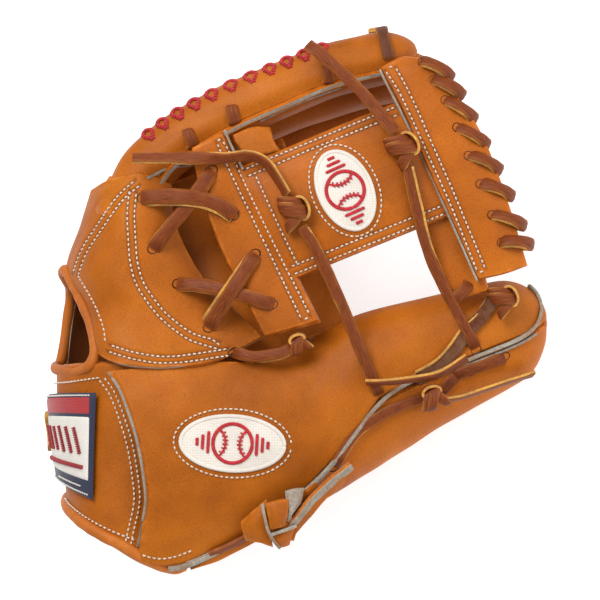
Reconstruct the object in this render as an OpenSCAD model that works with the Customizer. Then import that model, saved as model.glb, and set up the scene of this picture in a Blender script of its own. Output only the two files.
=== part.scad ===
/* [Leather] */
// Thickness of the outer leather
leather = 2.8; // [2:0.2:3.2]
// Thickness of the felt pads
felt = 3.6; // [2:0.2:4]
// Thickness of the thin hand lining
lining = 1.2; // [0.8:0.2:1.4]

/* [Lacing] */
// Width of the flat rawhide lace
lace_w = 6.2; // [4.5:0.1:6.6]
// Thickness of the flat rawhide lace
lace_t = 1.8; // [1.2:0.1:2]

/* [Fingers] */
// Half width of one finger stall, across the hand
stall_w = 12.2; // [10:0.2:12.4]
// Half height of one finger stall, palm to back
stall_h = 13; // [11:0.5:14]

/* [Web] */
// Thickness of the doubled leather bars of the web
bar_t = 3.6; // [2.5:0.1:4]

/* [Hidden] */

// The glove is laid out square to the back of its web: u runs to the right,
// v runs up and w stands out of the web. glove_turn and glove_shift then set
// it down on the heel, the thumb and the little finger, with +Z up.
glove_up = [-0.403, 0.278, 0.872];
glove_along = [0.84, 0.49, 0.23];
glove_shift = [22.58, -13.35, 80.4];

// ---- curves and surfaces
function cr(a, b, c, d, t) = 0.5 * (2 * b + (c - a) * t + (2 * a - 5 * b + 4 * c - d) * t * t
  + (3 * b - a - 3 * c + d) * t * t * t);
// a point on the smooth curve through the points P, x from 0 to len(P) - 1
function at(P, x) = let(n = len(P) - 1, q = min(max(x, 0), n), i = min(floor(q), n - 1), t = q - i)
  cr(i > 0 ? P[i - 1] : 2 * P[0] - P[1], P[i], P[i + 1],
     i + 2 <= n ? P[i + 2] : 2 * P[n] - P[n - 1], t);
function unit(a) = a / max(norm(a), 1e-6);
function path(P, n) = [for (i = [0 : n]) at(P, i * (len(P) - 1) / n)];
function grid(G, r, c) = [for (i = [0 : r]) let(row = [for (R = G) at(R, 0)])
  [for (j = [0 : c]) at([for (R = G) at(R, j * (len(R) - 1) / c)], i * (len(G) - 1) / r)]];
axis_z = unit(glove_up);
axis_y = unit(cross(axis_z, glove_along));
axis_x = cross(axis_y, axis_z);
function turned(p) = [axis_x * p, axis_y * p, axis_z * p] + glove_shift;

// volume under a set of triangles, to keep every skin facing out
function vol(P, F) = let(s = [for (f = F) cross(P[f[1]] - P[f[0]], P[f[2]] - P[f[0]]) * P[f[0]]]) s * [for (x = s) 1];
module skin(P, F) {
  Q = [for (p = P) turned(p)];
  G = vol(Q, F) > 0 ? [for (f = F) [f[2], f[1], f[0]]] : F;
  polyhedron(points = Q, faces = G, convexity = 6);
}
// a thick sheet between two grids of the same size
module slab(G, H) {
  r = len(G); c = len(G[0]); n = r * c;
  P = concat([for (a = G) for (b = a) b], [for (a = H) for (b = a) b]);
  F = concat(
    [for (i = [0 : r - 2]) for (j = [0 : c - 2]) for (k = [0, 1]) let(a = i * c + j, b = a + 1, d = a + c, e = d + 1)
      k == 0 ? [a, b, e] : [a, e, d]],
    [for (i = [0 : r - 2]) for (j = [0 : c - 2]) for (k = [0, 1]) let(a = n + i * c + j, b = a + 1, d = a + c, e = d + 1)
      k == 0 ? [a, e, b] : [a, d, e]],
    [for (j = [0 : c - 2]) for (k = [0, 1]) let(a = j, b = j + 1) k == 0 ? [b, a, n + a] : [b, n + a, n + b]],
    [for (j = [0 : c - 2]) for (k = [0, 1]) let(a = (r - 1) * c + j, b = a + 1) k == 0 ? [a, b, n + a] : [b, n + b, n + a]],
    [for (i = [0 : r - 2]) for (k = [0, 1]) let(a = i * c, b = a + c) k == 0 ? [a, b, n + a] : [b, n + b, n + a]],
    [for (i = [0 : r - 2]) for (k = [0, 1]) let(a = i * c + c - 1, b = a + c) k == 0 ? [b, a, n + a] : [b, n + a, n + b]]);
  skin(P, F);
}
// a solid through closed rings, with both ends capped
module loft(R) {
  m = len(R); c = len(R[0]); n = m * c;
  function mid(q) = (q * [for (x = q) 1]) / len(q);
  P = concat([for (a = R) for (b = a) b],
    [[for (k = [0 : 2]) [for (b = R[0]) b[k]] * [for (b = R[0]) 1] / c],
     [for (k = [0 : 2]) [for (b = R[m - 1]) b[k]] * [for (b = R[0]) 1] / c]]);
  F = concat(
    [for (i = [0 : m - 2]) for (j = [0 : c - 1]) for (k = [0, 1])
      let(a = i * c + j, b = i * c + (j + 1) % c, d = a + c, e = b + c) k == 0 ? [a, b, e] : [a, e, d]],
    [for (j = [0 : c - 1]) [n, (j + 1) % c, j]],
    [for (j = [0 : c - 1]) [n + 1, (m - 1) * c + j, (m - 1) * c + (j + 1) % c]]);
  skin(P, F);
}
// a flat lace along the points P, with its flat face towards N
function face(N, i, n) = is_num(N[0]) ? N : at(N, i * (len(N) - 1) / n);
module ribbon(P, n, N = [0, 0, 1], wd = lace_w, th = lace_t) {
  C = path(P, n);
  loft([for (i = [0 : n]) let(t = unit(C[min(i + 1, n)] - C[max(i - 1, 0)]), f = face(N, i, n),
      s = unit(cross(t, f)), m = unit(cross(s, t)))
    [C[i] + s * wd / 2 + m * th / 2, C[i] + s * wd / 2 - m * th / 2,
     C[i] - s * wd / 2 - m * th / 2, C[i] - s * wd / 2 + m * th / 2]]);
}
// a round cord or rolled binding along the points P
module cord(P, n, ra, rb, N = [0, 0, 1], k = 8) {
  C = path(P, n);
  loft([for (i = [0 : n]) let(t = unit(C[min(i + 1, n)] - C[max(i - 1, 0)]), s = unit(cross(t, face(N, i, n))),
      m = unit(cross(s, t))) [for (j = [0 : k - 1]) C[i] + s * ra * cos(360 * j / k) + m * rb * sin(360 * j / k)]]);
}
// a small pulled-tight knot
module knot(c, a, b, h) loft([for (i = [1 : 6]) let(f = 180 * i / 7)
  [for (j = [0 : 9]) c + a * sin(f) * cos(36 * j) + b * sin(f) * sin(36 * j) + h * -cos(f)]]);

// ---- the hand: rings from the wrist to the knuckles
hand_c = [[-85, -110, -46], [-80, -72, -48], [-76, -32, -49], [-77, 8, -50], [-84, 37, -50]];
hand_w = [[0, -5, 44], [0, 2, 46], [0, 4, 49], [-2, 8, 50], [-4, 13, 49]];
hand_b = [[-29, 13, 0], [-38, 4, 0], [-44, 0, 0], [-37, 3, 0], [-14.5, 6.5, 0]];
function grow(v, d) = v * (1 + d / norm(v));
function hand(s, f, d = 0) = at(hand_c, s) + grow(at(hand_w, s), d) * cos(f) + grow(at(hand_b, s), d) * sin(f);
function hand_grid(s0, s1, f0, f1, d, r, c) =
  [for (i = [0 : r]) [for (j = [0 : c]) hand(s0 + (s1 - s0) * i / r, f0 + (f1 - f0) * j / c, d)]];
module hand_sheet(s0, s1, f0, f1, d0, d1, r, c)
  slab(hand_grid(s0, s1, f0, f1, d1, r, c), hand_grid(s0, s1, f0, f1, d0, r, c));

// ---- the four finger stalls: centre lines from the knuckles to the tips
stall_c = [
  [[-83, 43, -13], [-72, 62, -13], [-56, 76, -12], [-35, 88, -12], [-10, 99, -11], [12, 108, -11], [35, 114, -12], [56, 118, -14]],
  [[-81, 37, -38], [-69, 57, -38], [-53, 71, -38], [-32, 83, -38], [-6, 94, -37], [18, 102, -38], [42, 108, -39], [66, 111, -41]],
  [[-79, 31, -63], [-67, 50, -64], [-51, 63, -64], [-30, 74, -64], [-6, 84, -64], [16, 92, -65], [38, 98, -66], [59, 100, -67]],
  [[-77, 25, -88], [-65, 42, -89], [-50, 54, -90], [-32, 64, -90], [-12, 73, -91], [7, 80, -92], [25, 85, -92], [42, 87, -92]]];
leaf = unit([-0.08, 0.26, 0.96]);
function dome(x, e) = x < 1 - e ? 1 : sqrt(max(0.004, 1 - pow((x - 1 + e) / e, 2)));
function stall(k, x, f, d = 0) = let(C = stall_c[k], n = len(C) - 1, y = 0.012 + x * (0.988 - (d < 0 ? -d / 150 : 0)),
    t = unit(at(C, min(n, y * n + 0.05)) - at(C, max(0, y * n - 0.05))), b = unit(cross(leaf, t)),
    g = dome(x, 0.13), w = 1 - 0.1 * x)
  at(C, y * n) + (leaf * (stall_w * w + d) * cos(f) + b * (stall_h * w + d) * sin(f)) * g;
module stall_half(k, f0, f1, r = 15, c = 8) slab(
  [for (i = [0 : r]) [for (j = [0 : c]) stall(k, pow(i / r, 0.85), f0 + (f1 - f0) * j / c)]],
  [for (i = [0 : r]) [for (j = [0 : c]) stall(k, pow(i / r, 0.85), f0 + (f1 - f0) * j / c, -leather)]]);

// ---- the thumb stall
thumb_c = [[-79, -68, -12.8], [-35, -66, -17], [4, -57, -19], [39, -39, -20], [72, -25, -20], [99, -15, -20], [118, -9, -20]];
thumb_a = [[-11.5, 54, 0], [-7, 53, 0], [-6, 39, 0], [-9, 33, 0], [-9, 27, 0], [-7, 22, 0], [-5, 17, 0]];
thumb_b = [[0, 0, 21.5], [0, 0, 23], [0, 0, 22], [0, 0, 21], [0, 0, 19], [0, 0, 17], [0, 0, 14]];
function thumb(s, f, d = 0) = let(g = dome(s / 6, 0.17), q = min(s, 6 + (d < 0 ? d / 20 : 0)))
  at(thumb_c, q) + (grow(at(thumb_a, q), d) * cos(f) + grow(at(thumb_b, q), d) * sin(f)) * g;
module thumb_sheet(s0, s1, f0, f1, d0, d1, r, c) slab(
  [for (i = [0 : r]) [for (j = [0 : c]) thumb(s0 + (s1 - s0) * i / r, f0 + (f1 - f0) * j / c, d1)]],
  [for (i = [0 : r]) [for (j = [0 : c]) thumb(s0 + (s1 - s0) * i / r, f0 + (f1 - f0) * j / c, d0)]]);

// the line that the thumb folds about, up the middle of the hand
fold_u = -80;
fold_w = -46;

// ---- finger side
module index_back() color("peru") stall_half(0, 3, 177);
module middle_back() color("peru") stall_half(1, 3, 177);
module ring_back() color("peru") stall_half(2, 3, 177);
module pinky_back() color("peru") stall_half(3, 3, 177);
module index_palm() color("sienna") stall_half(0, 183, 357);
module middle_palm() color("sienna") stall_half(1, 183, 357);
module ring_palm() color("sienna") stall_half(2, 183, 357);
module pinky_palm() color("sienna") stall_half(3, 183, 357);

module knuckle_back() color("peru") hand_sheet(2.95, 3.9, 78, 150, -leather, 0, 7, 9);
module pinky_side_back() color("peru") {
  hand_sheet(0.06, 3.95, 151.5, 213, -leather, 0, 16, 6);
  hand_sheet(1.78, 2.93, 109, 149.5, -leather - 0.3, -0.3, 6, 5);
}
module wrist_side_panel() color("peru") hand_sheet(0.06, 1.9, -16, 62, -leather - 0.8, -0.8, 9, 9);
// the leather between the thumb and the first finger, which reaches out to the web
crotch = [[[-101, 40, -27], [-95, 41, -14], [-86, 42.5, -6], [-77, 44, -1.5], [-68, 45, -2.5], [-60, 45, -7]],
  [[-104, 36, -30], [-97, 36, -14], [-88, 36, -3], [-78, 36, 1], [-67, 36, 0], [-58, 36, -6]],
  [[-111, 14, -32], [-103, 14, -15], [-92, 14, -3], [-78, 14, 1], [-61, 13, 0], [-46, 12, -8]],
  [[-103, -3, -17], [-96, -4, -7], [-86, -6, -2], [-70, -7, 1], [-48, -6, -1], [-30, -4, -8]],
  [[-97, -22, -10], [-91, -25, -5], [-80, -27, -2], [-62, -28, 0], [-40, -26, -1], [-19, -15, -6]]];
module crotch_panel() color("peru") let(G = grid(crotch, 12, 10)) slab(G, [for (a = G) [for (p = a) p - [-0.3, 0, 1] * leather]]);
module wrist_strap() color("peru") hand_sheet(0.4, 1.72, 30, 168, 0.4, 0.4 + leather, 6, 13);
module strap_label() color("navy") hand_sheet(0.52, 1.6, 26, 84, leather + 0.9, leather + 1.9, 5, 6);
module back_opening_binding() color("tan")
  cord([for (q = [[2.05, 64], [2.45, 62], [2.8, 64], [2.9, 80], [2.88, 98], [2.7, 106], [2.4, 107], [2.1, 106]])
    hand(q[0], q[1], 2.6)], 32, 2.4, 2.2, [for (q = [64, 62, 64, 80, 98, 106, 107, 106]) [-sin(q), 0, cos(q)]]);
module wrist_binding() color("tan")
  cord([for (f = [-6 : 12 : 210]) hand(0, f, -1) + [-1.2, -2.8, 0]], 34, 2.8, 2.4, [for (f = [-6 : 12 : 210]) [-sin(f), -0.3, cos(f)]]);

module palm_shell() color("sienna") hand_sheet(0.06, 3.92, 214.5, 284, -leather, 0, 16, 8);
module palm_pad() color("ivory") hand_sheet(0.15, 3.5, 222, 280, -leather - 0.5 - felt, -leather - 0.5, 12, 7);
module palm_liner() color("burlywood") hand_sheet(0.1, 3.6, 218, 282, -leather - felt - 1 - lining, -leather - felt - 1, 12, 8);
pocket = [[[-52, 60, -28], [-30, 68, -29], [-8, 76, -31]], [[-56, 30, -26], [-20, 35, -33], [6, 41, -38]],
  [[-50, 6, -24], [-8, 9, -32], [18, 12, -36]], [[-38, -14, -18], [2, -12, -17], [26, -6, -24]]];
module pocket_panel() color("sienna") let(G = grid(pocket, 8, 6))
  slab(G, [for (a = G) [for (p = a) p + [0.6, 0, 1] * leather * 0.86]]);
module pinky_loop() color("saddlebrown")
  ribbon([for (f = [196 : -16 : 100]) hand(3.1, f, -8)], 12, [for (f = [196 : -16 : 100]) [-sin(f), 0, cos(f)]], 12, 2);

// ---- the web
base_bar = [[[-51, 71, 4], [-43.5, 75, 5], [-36, 79, 4]], [[-47, 50, 3], [-36, 51, 4.5], [-24.5, 53, 3]],
  [[-36, 20, 2], [-22, 23, 4], [-8.5, 26, 2]], [[-17, -18, 4], [-3, -14, 6], [10, -10, 5]]];
i_bar = [[[-23.5, 64, 3.6], [11, 79, 5.6], [40, 91, 2.6], [50, 94.5, -2.6]], [[-12.5, 38, 6], [21, 52, 9], [51, 65, 4], [61, 69, -1.2]],
  [[0, 10.5, 3.6], [33, 23.8, 5.6], [63, 36.5, 2.6], [73, 40.5, -2.6]]];
top_bar = [[[37, 109, 3], [48, 114, 4], [58, 113, 4]], [[47, 90, 5], [60, 97, 5], [72, 98, 4]],
  [[59, 62, 6], [73, 68, 6], [86, 77, 4]], [[71, 36, 5], [86, 41, 5], [98, 46, 3]], [[83, 9, 3], [96, 12, 3], [107, 16, 2]]];
function lift(G, d) = [for (a = G) [for (p = a) p + [0, 0, d]]];
module bar(G, r, c, d0, d1) let(Q = grid(G, r, c)) slab(lift(Q, d1), lift(Q, d0));
module web_base_bar() color("peru") bar(base_bar, 9, 4, 0, bar_t);
module web_i_bar() color("peru") bar(i_bar, 6, 10, 0, bar_t);
module web_top_bar() color("peru") bar(top_bar, 12, 4, 0, bar_t + 1);
module web_tab() color("peru") bar([[[-32, 78, -3], [-23, 82, -4], [-14, 82, -4]], [[-30, 73, -2], [-21, 76, -2], [-12, 75, -2]],
  [[-24, 66, -1], [-17, 68, -1], [-9, 70, -1]]], 5, 5, 0, 2);
function oval(c, a, b, n) = [for (j = [0 : n - 1]) c + a * cos(360 * j / n) + b * sin(360 * j / n)];
module web_patch() color("white") let(R = oval([21, 51, 13.4], [8, -17.5, -1], [12, 5.5, 0], 24))
  loft([R, [for (p = R) p + [0, 0, 1.2]]]);

// ---- the lacing of the finger side and the web
edge_pts = [[63, 108], [68, 101], [74, 91.5], [79.5, 81], [84.5, 70], [90, 56], [95.5, 43], [100, 30]];
module top_edge_lace() color("sienna") for (p = edge_pts)
  let(o = unit([p[0] - 20, p[1] - 20, 0]), z = 4)
  ribbon([[p[0], p[1], z + 7] - o * 5, [p[0], p[1], z + 7] + o * 1.5, [p[0], p[1], z + 1.5] + o * 6.2, [p[0], p[1], z - 4] + o * 2, [p[0], p[1], z - 3.2] - o * 4],
    10, [[0, 0, 1], o * 0.5 + [0, 0, 1], o, o * 0.5 - [0, 0, 1], [0, 0, -1]], 5);
module index_side_lace() color("sienna") for (x = [0.3, 0.44, 0.72])
  let(a = stall(0, x, 318, 1.6), b = stall(0, x, 40, 1.6), t = unit(stall(0, x + 0.02, 0) - stall(0, x, 0)))
  ribbon([a, stall(0, x, 340, 2.2), stall(0, x, 0, 2.2), stall(0, x, 20, 2), b], 10,
    [[0.4, -0.6, 0.4], [0.2, -0.3, 0.8], [0, 0, 1], [0, 0.3, 0.8], [-0.2, 0.5, 0.6]], 5.4);
module crotch_lace_upper() color("sienna") {
  ribbon([[-72, 48, 6], [-60, 48, 9], [-47, 45, 10.5], [-34, 42, 11]], 8);
  ribbon([[-66, 26, 5], [-58, 40, 12.5], [-50, 52, 12.5], [-41, 61, 11.5]], 8);
}
module crotch_lace_lower() color("sienna") {
  ribbon([[-58, 8, 5], [-42, 4, 8], [-26, 2, 9.5], [-12, -2, 10]], 8);
  ribbon([[-44, -10, 3], [-34, 4, 12], [-26, 16, 12], [-20, 24, 10.5]], 8);
}
module fingertip_lace() color("saddlebrown") ribbon([
    stall(0, 0.88, 30, 2), stall(0, 0.88, 75, 2.6), stall(0, 0.88, 130, 2.4), stall(1, 0.86, 90, 2.4), stall(2, 0.86, 90, 2.4), stall(3, 0.86, 95, 2.2)],
    26, [[-0.1, 0.7, 0.7], [-0.2, 1, 0.2], [-0.2, 1, -0.2], [-0.2, 1, 0], [-0.2, 1, 0], [-0.2, 1, 0]]);
module web_lace_upper() color("sienna") {
  ribbon([[4, 122, 8], [14, 112, 12], [28, 96, 13.5], [42, 81, 15]], 10, [0, 0, 1]);
  ribbon([[50.5, 58, 16], [59, 23, 12], [70, 0, 9], [77, -14, 8.6]], 12, [0, 0, 1]);
}
module web_knot_upper() color("sienna") knot([48, 69, 16], [5, 6, 0], [-5, 5, 0], [0, 0, 3.6]);
module web_lace_middle() color("sienna") ribbon([[5, 34, 15.6], [12, 20, 14], [19, 0, 12.5], [28, -24, 9.5], [38, -46, 7.5]], 16);
module web_knot_middle() color("sienna") knot([-1, 43, 14.5], [4, 9, 0], [-5.5, 2.5, 0], [0, 0, 3.6]);
// free end of the middle web lace: it lies over the base bar and the index finger
tail_route = [[-7, 53, 16], [-14, 62, 13.5], [-22, 67, 12], [-34, 67, 12], [-56, 66, 11], [-78, 66, 10]];
module web_lace_tail() color("sienna") cord(tail_route, 12, 2.9, 0.9);

// ---- thumb side
// the seam between the thumb's back and its palm side runs from the heel up to the middle of the thumb
function seam(s) = 101 + 49 * pow(max(0, min(1, (2.9 - s) / 1.4)), 0.9);
// the upper rim of the thumb's back, which opens out flat over the base of the thumb
function rim(s) = 2 + 43 * max(0, min(1, (2.7 - s) / 1.2));
module thumb_back() color("peru") slab(
  [for (i = [0 : 20]) [for (j = [0 : 9]) let(s = i * 0.3) thumb(s, rim(s) + (seam(s) - 1 - rim(s)) * j / 9)]],
  [for (i = [0 : 20]) [for (j = [0 : 9]) let(s = i * 0.3) thumb(s, rim(s) + (seam(s) - 1 - rim(s)) * j / 9, -leather)]]);
module thumb_palm() color("sienna") slab(
  [for (i = [0 : 15]) [for (j = [0 : 13]) let(s = 1.8 + i * 0.28, f = seam(s) + 1) thumb(s, f + (358 - f) * j / 13)]],
  [for (i = [0 : 15]) [for (j = [0 : 13]) let(s = 1.8 + i * 0.28, f = seam(s) + 1) thumb(s, f + (358 - f) * j / 13, -leather)]]);
module thenar_palm() color("sienna") let(r0 = 56, r1 = 56 + leather)
  slab([for (i = [0 : 8]) [for (j = [0 : 6]) let(f = -24 + 8 * j) [fold_u + r1 * cos(f), -108 + 12 * i, fold_w + r1 * sin(f)]]],
       [for (i = [0 : 8]) [for (j = [0 : 6]) let(f = -24 + 8 * j) [fold_u + r0 * cos(f), -108 + 12 * i, fold_w + r0 * sin(f)]]]);
module thumb_pad() color("ivory") thumb_sheet(2.2, 5, 215, 325, -leather - 0.5 - felt, -leather - 0.5, 8, 6);
module thumb_loop() color("saddlebrown")
  ribbon([for (f = [20 : 15 : 160]) thumb(3, f, -7)], 12, [for (f = [20 : 15 : 160]) [0, cos(f), sin(f)]], 12, 1.8);
module thumb_patch() color("white") let(R = oval([-31.5, -67, 7.6], [24.5, 2.5, 0], [-1.5, 13, 0], 28))
  loft([R, [for (p = R) p + [0, 0, 1.2]]]);
module thumb_welt() color("silver") cord([for (s = [1.2 : 0.4 : 5.6]) thumb(s, seam(s), 1.9)], 30, 1.3, 1.5);
module thumb_lace() color("sienna") ribbon([[76, 5, 2], [86, -2, 3.6], [87, -10, 4], [76, -24, 4.2], [66, -31, 4.2], [52, -41, 4.2]], 18);
module thumb_knot_upper() color("sienna") knot([95, 0, 3], [7, 0, 0], [0, 5, 0], [0, 0, 3.4]);
module thumb_knot_lower() color("sienna") knot([62, -47, 5], [7, 1, 0], [-1, 4.5, 0], [0, 0, 3.4]);
thumb_route_a = [[42, -40, 7.5], [50, -38, 8], [62, -35, 8.4], [77, -27, 7.6]];
thumb_route_b = [[69, -46, 4.5], [82, -43, 2.5], [96, -39, 0], [110, -35, -6]];
module thumb_tail_upper() color("sienna") cord(thumb_route_a, 10, 2.9, 0.9);
module thumb_tail_lower() color("sienna") cord(thumb_route_b, 10, 2.9, 0.9);
module heel_strap() color("peru") {
  ribbon([[-26, -88, 8.5], [-16, -96, 9.5], [-6, -102, 4], [0, -107, -8]], 10, [[0, 0, 1], [0.1, -0.3, 1], [0.2, -0.9, 0.6], [0.2, -1, 0.1]], 20, 3);
}
module heel_lace() color("sienna") ribbon([[-42.4, -119.9, -4], [-33.4, -115.9, -3], [-24.4, -111.4, -4]], 6, [0.35, -0.8, 0.5], 5);

index_back();
middle_back();
ring_back();
pinky_back();
index_palm();
middle_palm();
ring_palm();
pinky_palm();
knuckle_back();
pinky_side_back();
wrist_side_panel();
crotch_panel();
wrist_strap();
strap_label();
back_opening_binding();
wrist_binding();
palm_shell();
palm_pad();
palm_liner();
pocket_panel();
pinky_loop();
web_base_bar();
web_i_bar();
web_top_bar();
web_tab();
web_patch();
top_edge_lace();
index_side_lace();
crotch_lace_upper();
crotch_lace_lower();
fingertip_lace();
web_lace_upper();
web_lace_middle();
web_knot_upper();
web_knot_middle();
web_lace_tail();
thumb_back();
thumb_palm();
thenar_palm();
thumb_pad();
thumb_loop();
thumb_patch();
thumb_welt();
thumb_lace();
thumb_knot_upper();
thumb_knot_lower();
thumb_tail_upper();
thumb_tail_lower();
heel_strap();
heel_lace();
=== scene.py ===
import math

import bpy
import numpy as np
from mathutils import Matrix, Vector
from mathutils.bvhtree import BVHTree


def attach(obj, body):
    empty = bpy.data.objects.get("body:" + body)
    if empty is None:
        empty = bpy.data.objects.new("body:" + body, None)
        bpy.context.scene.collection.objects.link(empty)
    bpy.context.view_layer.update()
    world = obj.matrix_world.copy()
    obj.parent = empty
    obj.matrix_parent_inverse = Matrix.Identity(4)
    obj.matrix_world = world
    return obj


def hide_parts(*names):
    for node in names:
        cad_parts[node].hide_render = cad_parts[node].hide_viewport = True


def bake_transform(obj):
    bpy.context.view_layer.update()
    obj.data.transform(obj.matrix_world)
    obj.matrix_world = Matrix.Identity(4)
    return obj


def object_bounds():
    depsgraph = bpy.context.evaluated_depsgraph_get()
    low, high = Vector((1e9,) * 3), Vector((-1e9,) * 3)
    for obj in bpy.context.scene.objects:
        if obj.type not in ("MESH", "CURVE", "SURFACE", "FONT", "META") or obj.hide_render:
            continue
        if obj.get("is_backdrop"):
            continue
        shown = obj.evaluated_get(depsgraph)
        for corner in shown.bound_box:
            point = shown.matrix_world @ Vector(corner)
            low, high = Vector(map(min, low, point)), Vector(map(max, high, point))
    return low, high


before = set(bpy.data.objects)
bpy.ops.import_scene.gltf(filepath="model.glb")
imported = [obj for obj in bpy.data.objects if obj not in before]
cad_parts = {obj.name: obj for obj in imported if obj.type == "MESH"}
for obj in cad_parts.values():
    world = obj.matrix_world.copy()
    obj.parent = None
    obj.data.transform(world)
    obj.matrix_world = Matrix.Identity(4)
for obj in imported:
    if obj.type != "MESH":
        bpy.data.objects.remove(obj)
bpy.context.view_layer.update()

# ------------------------------------------------------------------ layout
# The glove is laid out square to the back of its web, in millimetres: u right,
# v up, w out of the web. R and SHIFT set it down in the row's frame.


def unit(a):
    a = np.asarray(a, float)
    return a / np.maximum(np.linalg.norm(a, axis=-1, keepdims=True), 1e-9)


_z = unit([-0.403, 0.278, 0.872])
_y = unit(np.cross(_z, [0.84, 0.49, 0.23]))
_x = np.cross(_y, _z)
R = np.array([_x, _y, _z])
SHIFT = np.array([22.58, -13.35, 80.4])


def row(p):
    return (np.asarray(p, float) @ R.T + SHIFT) / 1000.0


def at(P, x):
    """Smooth curve through P (n, ...), at x from 0 to n - 1."""
    P = np.asarray(P, float)
    x = np.asarray(x, float)
    n = len(P) - 1
    q = np.clip(x, 0, n)
    i = np.minimum(np.floor(q).astype(int), n - 1)
    t = (q - i).reshape(q.shape + (1,) * (P.ndim - 1))
    E = np.concatenate([[2 * P[0] - P[1]], P, [2 * P[n] - P[n - 1]]])
    a, b, c, d = E[i], E[i + 1], E[i + 2], E[i + 3]
    return 0.5 * (2 * b + (c - a) * t + (2 * a - 5 * b + 4 * c - d) * t**2 + (3 * b - a - 3 * c + d) * t**3)


def smooth_path(P, step=1.0):
    P = np.asarray(P, float)
    D = at(P, np.linspace(0, len(P) - 1, 40 * len(P)))
    s = np.r_[0, np.cumsum(np.linalg.norm(np.diff(D, axis=0), axis=1))]
    n = max(3, int(round(s[-1] / step)) + 1)
    t = np.linspace(0, s[-1], n)
    return np.stack([np.interp(t, s, D[:, k]) for k in range(3)], axis=1)


def sstep(a, b, x):
    t = np.clip((x - a) / (b - a), 0, 1)
    return t * t * (3 - 2 * t)


# the rings of the hand, the finger stalls and the thumb
HAND_C = [[-85, -110, -46], [-80, -72, -48], [-76, -32, -49], [-77, 8, -50], [-84, 37, -50], [-73, 56, -50]]
HAND_W = [[0, -5, 44], [0, 2, 46], [0, 4, 49], [-2, 8, 50], [-4, 13, 49], [-4, 13, 49]]
HAND_B = [[-29, 13, 0], [-38, 4, 0], [-44, 0, 0], [-37, 3, 0], [-14.5, 6.5, 0], [-8.5, 10.6, 0]]
STALL_C = [
    [[-83, 43, -13], [-72, 62, -13], [-56, 76, -12], [-35, 88, -12], [-10, 99, -11], [12, 108, -11], [35, 114, -12], [56, 118, -14]],
    [[-81, 37, -38], [-69, 57, -38], [-53, 71, -38], [-32, 83, -38], [-6, 94, -37], [18, 102, -38], [42, 108, -39], [66, 111, -41]],
    [[-79, 31, -63], [-67, 50, -64], [-51, 63, -64], [-30, 74, -64], [-6, 84, -64], [16, 92, -65], [38, 98, -66], [59, 100, -67]],
    [[-77, 25, -88], [-65, 42, -89], [-50, 54, -90], [-32, 64, -90], [-12, 73, -91], [7, 80, -92], [25, 85, -92], [42, 87, -92]],
]
LEAF = unit([-0.08, 0.26, 0.96])
THUMB_C = [[-79, -68, -12.8], [-35, -66, -17], [4, -57, -19], [39, -39, -20], [72, -25, -20], [99, -15, -20], [118, -9, -20]]
THUMB_A = [[-11.5, 54, 0], [-7, 53, 0], [-6, 39, 0], [-9, 33, 0], [-9, 27, 0], [-6, 24, 0], [-2, 21, 0]]
THUMB_B = [[0, 0, 21.5], [0, 0, 23], [0, 0, 22], [0, 0, 21], [0, 0, 19], [0, 0, 17], [0, 0, 14]]
FOLD = np.array([-80.0, 0.0, -46.0])


def rad(f):
    return np.radians(f)


def grow(v, d):
    n = np.linalg.norm(v, axis=-1, keepdims=True)
    return v * (1 + np.asarray(d, float)[..., None] / n)


def hand(s, f, d=0.0):
    s, f, d = np.broadcast_arrays(np.asarray(s, float), np.asarray(f, float), np.asarray(d, float))
    return at(HAND_C, s) + grow(at(HAND_W, s), d) * np.cos(rad(f))[..., None] + grow(at(HAND_B, s), d) * np.sin(rad(f))[..., None]


def dome(x, e):
    return np.where(x < 1 - e, 1.0, np.sqrt(np.maximum(0.0004, 1 - ((x - 1 + e) / e) ** 2)))


def stall(k, x, f, d=0.0):
    x, f, d = np.broadcast_arrays(np.asarray(x, float), np.asarray(f, float), np.asarray(d, float))
    C = STALL_C[k]
    n = len(C) - 1
    y = 0.012 + x * 0.988
    y0 = np.maximum(y, 0.012)
    t = unit(at(C, np.minimum(n, y0 * n + 0.05)) - at(C, np.maximum(0, y0 * n - 0.05)))
    b = unit(np.cross(LEAF, t))
    g = dome(x, 0.13)
    w = 1 - 0.1 * x
    flat = 1.0 + 0.05 * np.abs(np.sin(2 * rad(f)))  # a squarer section than an ellipse
    w = np.minimum(w, 1.0) - (0.06 if k == 0 else 0.2) * (1 - sstep(-0.02, 0.13, x))
    root = t * (np.minimum(x, 0) * 160)[..., None]
    return at(C, y0 * n) + root + (LEAF * ((12.2 * w + d) * np.cos(rad(f)) * flat)[..., None] + b * ((13.0 * w + d) * np.sin(rad(f)) * flat)[..., None]) * g[..., None]


def thumb(s, f, d=0.0):
    s, f, d = np.broadcast_arrays(np.asarray(s, float), np.asarray(f, float), np.asarray(d, float))
    g = dome(s / 6, 0.17)[..., None]
    return at(THUMB_C, s) + (grow(at(THUMB_A, s), d) * np.cos(rad(f))[..., None] + grow(at(THUMB_B, s), d) * np.sin(rad(f))[..., None]) * g


def seam(s):
    return 101 + 49 * np.power(np.clip((2.9 - s) / 1.4, 0, 1), 0.9)


def rim(s):
    return 2 + 43 * np.clip((2.7 - s) / 1.2, 0, 1)


# ------------------------------------------------------------------ materials
def srgb(r, g, b):
    def c(x):
        x /= 255.0
        return x / 12.92 if x <= 0.04045 else ((x + 0.055) / 1.055) ** 2.4
    return (c(r), c(g), c(b), 1.0)


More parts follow.
